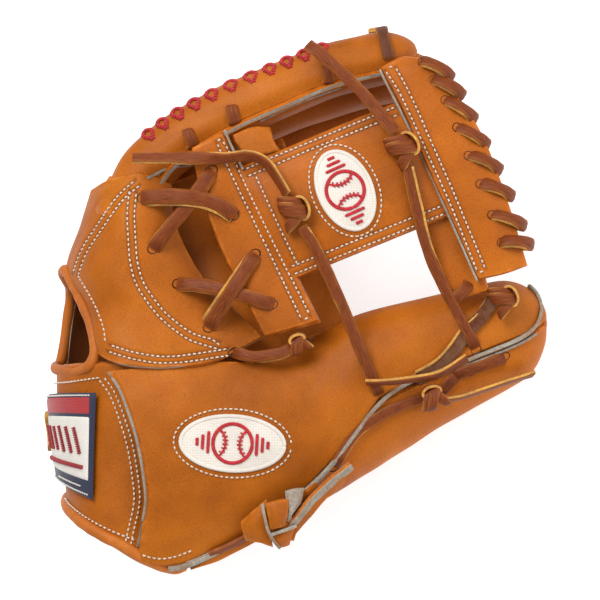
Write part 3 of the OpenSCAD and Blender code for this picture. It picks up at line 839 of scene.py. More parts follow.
hpanel("wrist_side_leather", "wrist_side_panel", 0.02, 1.98, -46, 74, d=-0.4, puff=0.3, ns=80, nf=90, seed=23, puff_in=2)
hpanel("wrist_strap_leather", "wrist_strap", 0.52, 1.52, 40, 168, d=2.4, thick=2.2, puff=0.3, grooves=(3.0,), ns=50, nf=110, seed=25)
hpanel("palm_leather_shell", "palm_shell", 0.06, 3.92, 214.5, 284, puff=0.5, ns=90, seed=26, mats=[PALM_SHADED, FLESH, INNER], slot="palm_leather")
G = net(CROTCH, N_(120), N_(110))
o = panel("crotch_panel_leather", G, 1 if grid_normals(G)[60, 50][2] > 0 else -1, thick=2.6, puff=0.6, puff_in=2, puff_r=5, seed=24,
          carve=(offset_uv(APEX_L, 1.5), offset_uv(APEX_L, -1.7), offset_uv(BOTTOM_L, 1.6), offset_uv(BOTTOM_L, -1.5), INN_O, offset_uv(INN_O, 3.4)))
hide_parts("crotch_panel")
carry(o, "fingers")

# ------------------------------------------------------------------ thumb
S = np.r_[lin(0, 4.98, N_(110))[:-1], 6 * (0.83 + 0.17 * np.sin(lin(0, math.pi / 2, N_(20))))]
s, t = np.meshgrid(S, lin(0, 1, N_(90)), indexing="ij")
r0 = rim(s) + 5 * np.clip(0.8 - s, 0, 1) - 3 * np.clip(s - 0.9, 0, 1)
G = thumb(s, r0 + (seam(s) - 1 - r0) * t)
TH_L = [(-91.7, -29), (-84.6, -42), (-79, -56.4), (-75.2, -70.5), (-72.6, -89.3), (-73, -98.7), (-75.6, -110), (-79, -121), (-80, -128)]
_tc = smooth_path([[p[0], p[1], 0] for p in TH_L], 1.0)
_want = np.interp(-G[..., 1], -_tc[:, 1], _tc[:, 0])
G[..., 0] += (_want - G[0, :, 0][None, :]) * (1 - sstep(0.0, 1.1, s))
G[..., 1] -= 12.0 * np.exp(-(((s - 0.3) / 0.5) ** 2)) * sstep(0.7, 1.0, t)
GT = G.copy()
o = panel("thumb_back_leather", G, 1 if grid_normals(G)[40, 30][2] > 0 else -1, thick=2.6, puff=1.2, puff_in=5, puff_r=14, round_r=1.8, sides="new", seed=31)
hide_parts("thumb_back")
S2 = S[S >= 1.8]
s, t = np.meshgrid(S2, lin(0, 1, N_(110)), indexing="ij")
f = seam(s) + 1
G = thumb(s, f + (358 - f) * t)
o2 = panel("thumb_palm_leather", G, 1 if grid_normals(G)[20, G.shape[1] // 2][2] < 0 else -1, thick=2.4, puff=0.6, sides="ewn", seed=32, mats=[SHELL2, FLESH, INNER], slot="palm_leather")
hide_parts("thumb_palm")
th, vv = np.meshgrid(lin(-24, 24, 30), lin(-108, -12, 70), indexing="ij")
G = np.stack([FOLD[0] + 58.8 * np.cos(rad(th)), vv, FOLD[2] + 58.8 * np.sin(rad(th))], -1)
o3 = panel("thenar_palm_leather", G, 1 if grid_normals(G)[10, 10][0] > 0 else -1, thick=2.6, puff=0.8, seed=33, mats=[PALM_SHADED, FLESH, INNER], slot="palm_leather")
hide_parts("thenar_palm")


BASE_ROWS = [[(-39, 73.8), (-34.8, 64.4), (-17, 27.5), (0.9, -9.4)], [(-36.7, 75.2), (-30.6, 64.4), (-13.2, 28.4), (4.7, -7.5)], [(0.9, -9.6), (4.8, -7.7)], [(-39, 74), (-36.6, 75.3)]]
I_ROWS = [[(-25.9, 61.1), (9.4, 75.6), (44.7, 90.2)], [(-24.5, 57.8), (10.6, 72.3), (45.6, 86.4)],
          [(-3.3, 11.8), (32.2, 26), (67.7, 40.4)], [(-4.7, 15.4), (30.8, 29.6), (66.3, 44)],
          [(-20.8, 58.3), (-11, 37), (-0.9, 16.2)]]
T1 = [(40, 107), (47, 95.4), (58, 71.2), (69, 47), (82.7, 13.6)]
T2 = [(44.5, 108.5), (51, 96.6), (62, 71.8), (72.9, 47), (86.5, 14.6)]


def bars(name, node, Gc, r, c, lift, thick, **kw):
    Gc = np.asarray(Gc, float)
    a = at(Gc, lin(0, len(Gc) - 1, r))
    G = np.swapaxes(at(np.swapaxes(a, 0, 1), lin(0, Gc.shape[1] - 1, c)), 0, 1)
    G = G + np.array([0, 0, lift])
    o = panel(name, G, 1 if grid_normals(G)[r // 2, c // 2][2] > 0 else -1, thick=thick, **kw)
    if node:
        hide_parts(node)
    return o


BASE_BAR = [[[-51, 71, 4], [-43.5, 75, 5], [-36, 79, 4]], [[-47, 50, 3], [-36, 51, 4.5], [-24, 53, 3]],
            [[-36, 20, 2], [-22, 23, 4], [-8, 26, 2]], [[-17, -18, 4], [-3, -14, 6], [10, -10, 5]]]
I_BAR = [[[-36, 59, -1], [-24, 64, 3.6], [11, 79, 5.6], [42, 91.5, 3.4], [52, 95, -0.8]], [[-25.5, 32.5, 0], [-13, 38, 6], [21, 52, 9], [53, 65.5, 5.2], [63, 69.5, 0.6]],
         [[-12, 5.5, -1], [-1, 10, 3.6], [33, 23.8, 5.6], [65, 37, 3.6], [75, 41, -0.8]]]
TOP_BAR = [[[37, 109, 3], [48, 114, 4], [58, 113, 4]], [[47, 90, 5], [60, 97, 5], [72, 98, 4]],
           [[59, 62, 6], [73, 68, 6], [86, 77, 4]], [[71, 36, 5], [86, 41, 5], [98, 46, 3]], [[83, 9, 3], [96, 12, 3], [107, 16, 2]]]
TAB = [[[-32, 78, -3], [-23, 82, -4], [-14, 82, -4]], [[-30, 73, -2], [-21, 76, -2], [-12, 75, -2]], [[-24, 66, -1], [-17, 68, -1], [-9, 70, -1]]]
POCKET = [[[-68, 55, -20], [-50, 62, -23], [-30, 70, -27], [-8, 78, -30]], [[-62, 29, -22], [-44, 32, -25], [-20, 36, -33], [6, 42, -38]],
          [[-56, 5, -22], [-34, 4, -21], [-8, 4, -28], [18, 6, -32]], [[-46, -34, -14], [-26, -36, -12], [0, -34, -13], [26, -24, -20]]]
ob = bars("web_base_bar_leather", "web_base_bar", BASE_BAR, N_(90), N_(24), 3.6, 3.6, puff=0.4, puff_in=1, puff_r=4, seed=41, carve=BASE_ROWS[:2], mats=[SHELL2, FLESH, INNER])
oi = bars("web_i_bar_leather", "web_i_bar", I_BAR, N_(60), N_(80), 3.6, 3.6, puff=0.8, puff_in=6, puff_r=8, seed=42, carve=I_ROWS, mats=[SHELL2, FLESH, INNER])
ot = bars("web_top_bar_leather", "web_top_bar", TOP_BAR, N_(120), N_(34), 4.6, 4.6, puff=0.5, puff_in=5, puff_r=6, seed=43, carve=(T1, T2), mats=[SHELL2, FLESH, INNER])
otb = bars("web_tab_leather", "web_tab", TAB, N_(30), N_(30), 2.0, 2.0, puff=0.2, seed=44)
opk = bars("pocket_leather", "pocket_panel", POCKET, N_(60), N_(50), 0.0, 2.4, puff=0.0, seed=45, mats=[SHELL2, FLESH, PALM_SHADED], slot="palm_leather")
ou = bars("web_top_bar_under_leather", None, [[[50, 64, 0], [57, 66, 0], [66, 69, 0]], [[57, 40, 0.4], [65, 42, 0.4], [74, 44, 0.6]], [[64.5, 16, 0.6], [74, 18, 0.8], [84, 21, 0.8]], [[70.5, -1, 0.2], [79, 1.5, 0.4], [89, 4, 0.4]]],
          N_(60), N_(24), 2.2, 2.2, puff=0.2, puff_in=1, puff_r=4, seed=46, mats=[SHELL2, FLESH, INNER])
for q in (ob, oi, ot, otb, opk, ou):
    carry(q, "web")
for q in (o, o2, o3):
    carry(q, "thumb")

WHOLE = drape_tree([n for n in MADE if not n.endswith("edge_0") and not n.endswith("edge_1")])


# ------------------------------------------------------------------ helpers for lacing and trim
FLESH_L = flesh_mat("lace flesh side", srgb(70, 34, 20), srgb(108, 62, 40))
# painted shade for the inside of the lace holes
HOLE_SHADE_DARK = flesh_mat("lace hole", srgb(24, 12, 8), srgb(44, 22, 14))


def turned(P, f):
    """Layout points given as (u, v, w) with an outward vector from f."""
    return np.asarray(P, float), np.asarray(f, float)


def on_hand(sf, d=0.0):
    a = smooth_path([[q[0] * 30, q[1], 0] for q in sf], 1.0)
    s, f = a[:, 0] / 30, a[:, 1]
    P = hand(s, f, d)
    return P, unit(hand(s, f, d + 3) - hand(s, f, d))


def on_thumb(sf, d=0.0):
    a = smooth_path([[q[0] * 30, q[1], 0] for q in sf], 1.0)
    s, f = a[:, 0] / 30, a[:, 1]
    return thumb(s, f, d), unit(thumb(s, f, d + 3) - thumb(s, f, d))


def on_stall(k, xf, d=0.0):
    a = smooth_path([[q[0] * 150, q[1], 0] for q in xf], 1.0)
    x, f = a[:, 0] / 150, a[:, 1]
    return stall(k, x, f, d), unit(stall(k, x, f, d + 3) - stall(k, x, f, d))


def even(P, N, step=1.0):
    L = np.r_[0, np.cumsum(np.linalg.norm(np.diff(P, axis=0), axis=1))]
    t = np.linspace(0, L[-1], max(4, int(L[-1] / step)))
    return np.stack([np.interp(t, L, P[:, j]) for j in range(3)], 1), unit(np.stack([np.interp(t, L, N[:, j]) for j in range(3)], 1))


def sew(name, uvs, how, lift=0.3, tree=None, **kw):
    o = stitch_rows(name, [even(*drape(tree or WHOLE, uv, lift)) for uv in uvs], **kw)
    carry(o, how)
    return o


def sew_rows(name, rows, how, **kw):
    o = stitch_rows(name, [even(*r) for r in rows], **kw)
    carry(o, how)
    return o


def hole(name, uv, how, a=3.6, b=2.4, ang=0.0, dip=0.0):
    a, b = a * 0.62, b * 0.66
    # A punched hole in the leather, a shallow dished disc whose dark centre is painted shade.
    """A dark punched hole in the leather, a shallow dished disc."""
    P, N = drape(WHOLE, [(uv[0] - 1, uv[1]), uv, (uv[0] + 1, uv[1])], 0.0)
    c, n = P[len(P) // 2], unit(N[len(N) // 2])
    e = unit(np.array([math.cos(ang), math.sin(ang), 0]) - n * (math.cos(ang) * n[0] + math.sin(ang) * n[1]))
    g = np.cross(n, e)
    V, F = [c - n * 0.9], []
    k = 20
    for r, h in ((0.75, -0.3), (1.0, 0.12), (1.14, 0.16), (1.26, -0.5)):
        for j in range(k):
            t = 2 * math.pi * j / k
            V.append(c + e * a * r * math.cos(t) + g * b * r * math.sin(t) + n * h)
    for j in range(k):
        F.append((0, 1 + j, 1 + (j + 1) % k))
        for q in range(3):
            i0, i1 = 1 + q * k + j, 1 + q * k + (j + 1) % k
            F.append((i0, i0 + k, i1 + k, i1))
    V.append(c - n * 1.6)
    for j in range(k):
        F.append((len(V) - 1, 1 + 3 * k + (j + 1) % k, 1 + 3 * k + j))
    # the centre, the bottom and the inner bands take the dark painted shade, the outermost band the web leather
    o = build(name, V, F, [HOLE_SHADE_DARK, SHELL2], [0 if len(f) == 3 or max(f) < 1 + 3 * k else 1 for f in F], angle=50)
    fix_normals(o)
    carry(o, how)
    return o


def lace(name, uv, lift=1.4, taut=1.0, wd=5.4, th=2.2, dip=(2.4, 2.4), ends=None, hump=None, mats=None, seed=0, crown=0.5, wob=0.6, tree=None, add=None, twist=0.0):
    """One length of lace over the web, pulled tight, dipping into its holes."""
    P, N = drape(tree or WHOLE, uv, lift, taut, step=0.9, ends=ends)
    L = np.r_[0, np.cumsum(np.linalg.norm(np.diff(P, axis=0), axis=1))]
    if dip[0]:
        P[:, 2] -= dip[0] * np.exp(-((L / 2.2) ** 2))
    if dip[1]:
        P[:, 2] -= dip[1] * np.exp(-(((L[-1] - L) / 2.2) ** 2))
    if hump:
        for at_, h, wide in ([hump] if not isinstance(hump[0], tuple) else hump):
            P[:, 2] += h * np.exp(-(((L / L[-1] - at_) * L[-1] / wide) ** 2))
    if add is not None:
        P = P + np.asarray(add, float)
    if twist:
        S = np.cross(unit(np.gradient(P, axis=0)), N)
        a = twist * np.sin(L / 9.0 + seed)
        N = N * np.cos(a)[:, None] + S * np.sin(a)[:, None]
    return ribbon(name, P, N, wd=wd, th=th, raw=True, mats=mats, seed=seed, crown=crown, wob=wob)


def knot(name, c, d, size=1.0, mats=None, seed=0, flat=1.0, turns=1):
    """A tied lace: a turn across, a turn along and a bight on one side."""
    c = np.asarray(c, float)
    d = unit(np.array([d[0], d[1], 0.0]))
    e = np.array([-d[1], d[0], 0.0])
    z = np.array([0, 0, 1.0])
    s = size
    parts = []
    # a turn over the strand
    a = lin(-0.2, math.pi + 0.2, 26)
    tilt = 0.28
    P = c + np.outer(np.cos(a) * 5.0 * s, e) + np.outer(np.sin(a) * 4.4 * s * flat, z) + np.outer(np.cos(a) * 2.2 * s * tilt * 4, d)
    Nn = np.outer(np.cos(a), e) + np.outer(np.sin(a), z)
    parts.append(ribbon(name + "_a", P, Nn, wd=5.6 * s, th=1.9, raw=True, mats=mats, seed=seed, crown=0.5, wob=0.5))
    # a second turn, crossing under it
    P = c + d * 3.4 * s + np.outer(np.cos(a) * 4.6 * s, e) + np.outer(np.sin(a) * 3.1 * s * flat, z) - np.outer(np.cos(a) * 2.8 * s, d)
    parts.append(ribbon(name + "_b", P, Nn, wd=5.0 * s, th=1.8, raw=True, mats=mats, seed=seed + 1, crown=0.5, wob=0.5))
    P = c - d * 3.6 * s + np.outer(np.cos(a) * 4.4 * s, e) + np.outer(np.sin(a) * 3.0 * s * flat, z) + np.outer(np.cos(a) * 1.6 * s, d)
    parts.append(ribbon(name + "_c", P, Nn, wd=4.6 * s, th=1.8, raw=True, mats=mats, seed=seed + 2, crown=0.5, wob=0.5))
    # a bight seen edge on at the side
    a = lin(-1.9, 1.9, 24)
    P = c + e * 3.6 * s + np.outer(np.cos(a) * 3.0 * s, e) + np.outer(np.sin(a) * 5.0 * s, d) + np.outer(1.6 + 0.8 * np.cos(a), z)
    parts.append(ribbon(name + "_d", P, np.outer(np.cos(a), e) + np.outer(np.sin(a), d), wd=3.4 * s, th=1.7, raw=True, mats=mats, seed=seed + 3, crown=0.3, wob=0.3))
    o = join(name, parts)
    return o


# ------------------------------------------------------------------ stitching on the crotch panel
LEFT1, LEFT2 = offset_uv(APEX_L, 1.5), offset_uv(APEX_L, -1.7)
sew("crotch_stitches_left", [LEFT1, LEFT2], "fingers")
sew("crotch_stitches_inner", [INN_O, [tuple(q) for q in offset_uv(INN_O[:-1], 3.4)] + [(-36.6, -22.2)]], "fingers")
sew("crotch_stitches_bottom", [offset_uv(BOTTOM_L, 1.6), offset_uv(BOTTOM_L, -1.5)], "fingers")
o = sew("crotch_edge_stitches", [[(-105.8, 12), (-97.6, -1), (-92.8, -12), (-91.4, -20)]], "fingers")

# ------------------------------------------------------------------ binding round the opening in the back
near = [[-115.5, 13.5, -42], [-113.6, 14.5, -36], [-111.2, 11, -31], [-104, -1.5, -19.5], [-99, -12.5, -12.0], [-97, -24, -8.5], [-99.5, -31, -8.5], [-105, -34, -15], [-112, -34, -25], [-118, -33.5, -37]]
far = [hand(q, a, -0.6) for q, a in ((1.98, 90), (2.02, 101), (2.2, 106), (2.5, 107), (2.8, 105), (2.93, 98), (2.95, 90))] + [np.array([-115.5, 13.5, -42.0])]
P = np.concatenate([np.array(near), np.array(far)])
o = tube("back_opening_roll", P, 2.7, 2.5, unit(P - np.array([-76, -8, -50])), k=16, folds=0.05, seed=3)
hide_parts("back_opening_binding")
carry(o, "fingers")
fs = lin(2, 208, 38)
P = hand(0 * fs - 0.02, fs, -0.4) + np.array([-0.3, 0.2, 0])
Q = np.array([[-54, -125.5, -10], [-60, -127, -8], [-68, -124.5, -5.5], [-76, -120.5, -3.8]])
P = np.concatenate([Q, P])
Nw = np.concatenate([np.tile([0.1, -0.5, 1.0], (4, 1)), unit(hand(0 * fs, fs, 3) - hand(0 * fs, fs, 0))])
o = tube("wrist_roll", P, 2.9, 2.6, Nw, k=16, folds=0.05, seed=4)
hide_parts("wrist_binding")
carry(o, "fingers")
sew_rows("wrist_stitches", [on_hand([(0.1, -14), (0.1, 20), (0.1, 60), (0.1, 74)], 0.2), on_hand([(1.8, 24), (1.76, 50), (1.76, 76)], 0.1)], "fingers")
TH_S = [(-90.5, -34), (-84.6, -42), (-79, -56.4), (-75.2, -70.5), (-72.6, -89.3), (-73, -98.7), (-75.6, -110), (-77, -117)]
sew("thumb_base_stitches", [offset_uv(TH_S, -3.0), offset_uv(TH_S, -5.6)], "fingers")
P, N = drape(WHOLE, offset_uv(TH_S, 0.3), 0.1)
o = ribbon("thumb_base_raw_edge", P, N, wd=1.3, th=1.4, raw=True, mats=[FLESH, FLESH], wob=0.3)
carry(o, "thumb")
P, N = drape(WHOLE, [(-90, -27.6), (-80, -30.4), (-62, -31.4), (-42, -28.6)], 0.0)
o = ribbon("crotch_raw_edge", P - [0, 0, 0.9], N, wd=0.9, th=1.2, raw=True, mats=[FLESH, FLESH], wob=0.3)
carry(o, "fingers")
sew("heel_edge_stitches", [[(-75, -119.5), (-68, -121.5), (-60, -121), (-50, -117.5)]], "thumb")

# ------------------------------------------------------------------ strap label
lab = []
for nm, s0, s1, f0, f1, d, mt in (("n", 0.36, 1.62, 25, 86, 3.3, LABEL_N), ("r", 1.36, 1.57, 28, 83, 3.75, LABEL_R), ("w", 0.56, 1.335, 28, 83, 3.8, LABEL_W)):
    G = surf(lambda s, f, d=d: hand(s, f, d), lin(s0, s1, N_(36)), lin(f0, f1, N_(40)))
    n = grid_normals(G)[5, 5]
    lab.append(panel("strap_label_" + nm, G, 1 if np.dot(n, hand((s0 + s1) / 2, 50, 5) - hand((s0 + s1) / 2, 50, 0)) > 0 else -1, thick=0.9, puff=0.15, puff_in=0.3, puff_r=1.0, round_r=0.6,
                     rough_amp=0.08, mats=[mt, mt, mt], slot="label", seed=60, worn=0))
rows = []
for q in range(6):
    ff = lin(35 + 7.6 * q, 40.5 + 7.6 * q, 24)
    ss = lin(0.86, 1.2, 24)
    rows.append((hand(ss, ff, 4.1), unit(hand(ss, ff, 7) - hand(ss, ff, 4))))
ff = lin(32, 80, 90)
rows.append((hand(0.71 + 0 * ff, ff, 4.1), unit(hand(0.71 + 0 * ff, ff, 7) - hand(0.71 + 0 * ff, ff, 4))))
lab.append(stitch_rows("strap_label_thread", [even(*r, step=0.4) for r in rows], pitch=1.1, length=1.08, wd=2.0, mats=[LABEL_R], slot="label"))
rows = []
for q in (0.475,):
    ff = lin(34, 64, 40)
    rows.append((hand(q + 0 * ff, ff, 3.7), unit(hand(q + 0 * ff, ff, 7) - hand(q + 0 * ff, ff, 4))))
for edge in ((0.40, 0.40, 28, 83), (1.59, 1.59, 28, 83)):
    ff = lin(edge[2], edge[3], 60)
    rows.append((hand(edge[0] + 0 * ff, ff, 3.5), unit(hand(edge[0] + 0 * ff, ff, 7) - hand(edge[0] + 0 * ff, ff, 4))))
lab.append(stitch_rows("strap_label_thread2", [even(*r, step=0.3) for r in rows], pitch=1.3, length=1.15, wd=0.75, mats=[LABEL_W], slot="label"))
o = join("strap_label_cloth", lab)
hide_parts("strap_label")
carry(o, "fingers")
P, N = on_hand([(1.35, 86), (1.2, 90), (1.0, 90), (0.85, 86)], 4.2)
o = ribbon("strap_pull_lace", P, N, wd=5, th=2.2, raw=True, mats=[GOLD, GOLD], seed=5, crown=0.4)
carry(o, "fingers")


# ------------------------------------------------------------------ embroidered patches
def patch(name, node, c, ax, ra, rb, how, ring):
    ax = unit(np.array([ax[0], ax[1], 0.0]))
    ay = np.array([-ax[1], ax[0], 0.0])
    k = 72
    V, F = [], []
    rr = [0.0] + list(lin(0.12, 0.9, 10)) + [0.94, 1.0, 1.0]
    hh = [0.9] * 11 + [0.8, 0.35, -1.4]

    def surf_pt(p):
        hit, nor, _, _ = WHOLE.ray_cast(Vector((p[0], p[1], 300)), Vector((0, 0, -1)))
        return np.array([p[0], p[1], hit.z if hit is not None else c[2]]), np.array([0, 0, 1.0])
    c0, _ = surf_pt(c)
    V.append(c0 + [0, 0, 0.9])
    for r, h in zip(rr[1:], hh[1:]):
        for j in range(k):
            t = 2 * math.pi * j / k
            p, _ = surf_pt(np.array(c) + ax * ra * r * math.cos(t) + ay * rb * r * math.sin(t))
            V.append(p + [0, 0, h])
    for j in range(k):
        F.append((0, 1 + j, 1 + (j + 1) % k))
    for q in range(len(rr) - 2):
        for j in range(k):
            a, b = 1 + q * k + j, 1 + q * k + (j + 1) % k
            F.append((a, a + k, b + k, b))
    V.append(c0 - [0, 0, 1.4])
    base = 1 + (len(rr) - 2) * k
    for j in range(k):
        F.append((len(V) - 1, base + (j + 1) % k, base + j))
    V = np.array(V)
    cloth = build(name + "_cloth", V, F, [PATCH], None, np.stack([V[:, 0], V[:, 1]], 1) / 1000.0, angle=50)
    fix_normals(cloth)
    parts = [cloth]

    def loop(r, lift, step=1.0):
        t = np.linspace(0, 2 * math.pi, 160)
        P = np.array([surf_pt(np.array(c) + ax * (ra + r) * math.cos(q) + ay * (rb + r) * math.sin(q))[0] for q in t])
        for _ in range(2):
            P[:, 2] = np.convolve(np.pad(P[:, 2], 3, mode="wrap"), np.ones(7) / 7, "valid")
        P[:, 2] += lift
        return P, np.tile([0, 0, 1.0], (len(P), 1))
    P, N = loop(-0.7, 0.7)
    parts.append(tube(name + "_border", P, 1.0, 0.7, N, k=10, raw=True, mats=[PATCH], folds=0.02))
    # motif: a ball with its two curved seams
    rm = 0.62 * rb

    def curve(fn, n, wd, mat=RED):
        Q = []
        for q in np.linspace(0, 1, n):
            x, y = fn(q)
            p, _ = surf_pt(np.array(c) + ax * x + ay * y)
            Q.append(p + [0, 0, 1.2])
        Q = np.array(Q)
        parts.append(tube(name + "_m%d" % len(parts), Q, wd, 0.45, np.tile([0, 0, 1.0], (len(Q), 1)), k=8, raw=True, mats=[mat]))
    curve(lambda q: (rm * 1.1 * math.cos(2 * math.pi * q), rm * 1.1 * math.sin(2 * math.pi * q)), 70, 0.85)
    for sg in (-1, 1):
        curve(lambda q: (sg * (rm * 1.35 - rm * 0.95 * math.cos((q - 0.5) * 1.75)), rm * 0.98 * math.sin((q - 0.5) * 1.75)), 30, 0.5)
        for i in range(6):
            y = rm * (-0.55 + 0.22 * i)
            x0 = sg * (rm * 1.35 - rm * 0.95 * math.cos(math.asin(max(-1, min(1, y / (rm * 0.98))))))
            curve(lambda q: (x0 + (q - 0.5) * 2.6, y + sg * 0.0 + abs(q - 0.5) * 1.4), 7, 0.4)
    for sg in (-1, 1):
        for i in range(3):
            xx = sg * (rm * 1.1 + 2.2 + i * 2.6)
            hh2 = rm * (0.62 - 0.2 * i)
            if abs(xx) < ra - 3:
                curve(lambda q: (xx, (q - 0.5) * 2 * hh2), 12, 0.75)
    o = join(name, parts)
    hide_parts(node)
    carry(o, how)
    P, N = loop(ring, 0.3)
    st = stitch_rows(name + "_ring_stitches", [even(P, N)])
    carry(st, how)
    return o


patch("thumb_patch_cloth", "thumb_patch", (-31.5, -67, 0), (0.998, -0.06), 24.9, 13.4, "thumb", 2.6)
patch("web_patch_cloth", "web_patch", (21, 51, 0), (0.41, -0.91), 19.7, 12.9, "web", 2.6)

# ------------------------------------------------------------------ stitching on the web
sew("base_bar_stitches", BASE_ROWS, "web")
sew("i_bar_stitches", I_ROWS, "web")
sew("top_bar_stitches", [T1, T2, [(83, 12.6), (86.3, 13.8)], [(40.6, 108.2), (44, 109.4)]], "web")

# raw lower edges of the web's leathers, where the cut shows
for nm, uv, how, w in (("top_bar_raw_edge", [(37.2, 107.6), (47, 88), (59, 62), (71, 35.6), (82.8, 8.9)], "web", 7.2),
                       ("base_bar_raw_edge", [(-35.4, 79.4), (-31, 69.5), (-26.6, 61)], "web", 7.4),
                       ("index_raw_edge", [(-19, 84.6), (0, 93.2), (19, 100.4)], "fingers", None),
                       ("index_root_raw_edge", [(-72, 57), (-63, 61.5), (-52, 64)], "fingers", None)):
    P, N = drape(WHOLE, uv, 0.0)
    P[:, 2] = w if w is not None else P[:, 2] + 0.2
    o = ribbon(nm, P, N, wd=1.1, th=1.5, raw=True, mats=[FLESH, FLESH], wob=0.2, crown=0.2)
    carry(o, how)

# ------------------------------------------------------------------ laces through the top of the web
EDGE = [((57.3, 111.0), (71.2, 104.4)), ((62.4, 102.6), (76.2, 95.8)), ((67.8, 93.1), (82, 84.6)), ((73.3, 80.4), (88, 72.7)),
        ((78.6, 67.2), (93.8, 60.8)), ((84.1, 54.0), (99.6, 48.6)), ((89.6, 39.6), (105.2, 34.8)), ((94.2, 26.8), (108.6, 26.0))]
parts = []
for i, (a, b) in enumerate(EDGE):
    a, b = np.array(a), np.array(b)
    o_ = unit(b - a)
    ln = np.linalg.norm(b - a)
    rng = np.random.default_rng(i)
    base = 8.6
    pts = [(a - o_ * 0.5, base - 2.2), (a + o_ * 1.5, base + 0.7), (a + o_ * ln * 0.42, base + 2.0), (a + o_ * (ln - 4.5), base + 1.1), (a + o_ * (ln - 1.8), base - 1.6),
           (b - o_ * 0.4, base - 5.5), (b - o_ * 2.2, base - 9.0), (b - o_ * 6, base - 9.8)]
    perp = np.array([-o_[1], o_[0]])
    bow = rng.uniform(0.5, 1.1)
    P = np.array([[p[0] + perp[0] * bow * math.sin(math.pi * min(1, q / 4.0)), p[1] + perp[1] * bow * math.sin(math.pi * min(1, q / 4.0)), w] for q, (p, w) in enumerate(pts)])
    Nn = np.array([[0, 0, 1], [perp[0] * 0.5, perp[1] * 0.5, 1], [perp[0] * 0.6, perp[1] * 0.6, 1], [o_[0] * 0.4 + perp[0] * 0.6, o_[1] * 0.4 + perp[1] * 0.6, 1], [o_[0], o_[1], 0.8], [o_[0], o_[1], 0], [o_[0] * 0.6, o_[1] * 0.6, -1], [0, 0, -1.0]])
    parts.append(ribbon("edge_lace_%d" % i, P, Nn, wd=5.9 + rng.uniform(-0.3, 0.3), th=2.3, mats=[LACE, GOLD], seed=i, crown=0.8, wob=0.8))
    hole("edge_hole_%d" % i, tuple(a - o_ * 0.2), "web", 3.2, 3.0, math.atan2(o_[1], o_[0]))
for i in range(len(EDGE) - 1):
    a, b = np.array(EDGE[i][1]), np.array(EDGE[i + 1][0])
    o1 = unit(np.array(EDGE[i][1]) - np.array(EDGE[i][0]))
    P = np.array([[a[0] - o1[0] * 5, a[1] - o1[1] * 5, -1.4], [(a[0] + b[0]) / 2 - 1, (a[1] + b[1]) / 2, -3.4], [b[0] - 1, b[1], -0.6]])
    parts.append(ribbon("edge_lace_back_%d" % i, P, (0, 0, -1), wd=4.6, th=2.0, seed=20 + i))
o = join("top_edge_lacing", parts)
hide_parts("top_edge_lace")
carry(o, "web")

# ------------------------------------------------------------------ the two long laces over the web
a1 = lace("web_lace_upper_run", [(4, 119), (14, 110.5), (28, 97), (44, 78)], lift=1.6, taut=1, dip=(3, 0), ends=(12, 17.5), seed=1, wd=5.6)
a2 = lace("web_lace_upper_low", [(49.5, 65), (54, 44), (60, 22), (71, -1), (82.5, -22)], lift=1.6, taut=1, dip=(0, 2.5), ends=(16, None), seed=2, wd=5.2)
P, N = drape(WHOLE, [(52, 62), (56.5, 44), (62.4, 22), (73, -1)], 1.6, 1, ends=(16, None))
e = ribbon("web_lace_upper_cut", P, N, wd=1.2, th=2.0, raw=True, mats=[GOLD, GOLD])
o = join("web_lace_upper_strands", [a1, a2, e])
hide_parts("web_lace_upper")
carry(o, "crotch_hi")
o = knot("web_knot_upper_tied", [47.5, 70.5, 14.5], (0.55, -0.84), 1.12, seed=3)
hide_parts("web_knot_upper")
carry(o, "web")
b1 = lace("web_lace_middle_run", [(1, 34), (8, 22), (18.5, 0), (28, -23), (37, -44)], lift=1.6, taut=1, dip=(0, 2.5), ends=(16, None), seed=4, wd=5.4, mats=[LACE, GOLD])
P, N = drape(WHOLE, [(3.6, 34), (10.6, 22), (21, 0), (30.4, -23)], 1.5, 1, ends=(16, None))
e = ribbon("web_lace_middle_cut", P, N, wd=1.1, th=2.0, raw=True, mats=[GOLD, GOLD])
o = join("web_lace_middle_strand", [b1, e])
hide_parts("web_lace_middle")
carry(o, "crotch_lo")
o = knot("web_knot_middle_tied", [-3, 41.5, 14.0], (0.3, -0.95), 1.1, seed=8)
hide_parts("web_knot_middle")
carry(o, "web")


def free_end(name, node, P, N, how, wd=5.8, th=1.8, seed=0):
    C = smooth_path(P, 0.8)
    nn = at(np.asarray(N, float), np.linspace(0, len(N) - 1, len(C)))
    o = ribbon(name, C, nn, wd=wd, th=th, raw=True, mats=[LACE, GOLD], seed=seed, crown=0.25, wob=0.15)
    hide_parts(node)
    carry(o, how)
    return o


free_end("web_tail", "web_lace_tail", [[-6, 49, 17], [-10, 56, 15.4], [-16, 64, 14.6], [-24, 67, 14], [-36, 66, 13], [-56, 66, 12.5], [-78, 66, 11.5]],
         [[-0.8, -0.3, 0.7], [-0.85, -0.4, 0.7], [-0.4, -0.7, 0.8], [0.0, -0.55, 0.9], [0.05, 0.35, 1], [0, 0.6, 0.8], [0, 0.6, 0.8]], "web", seed=11)

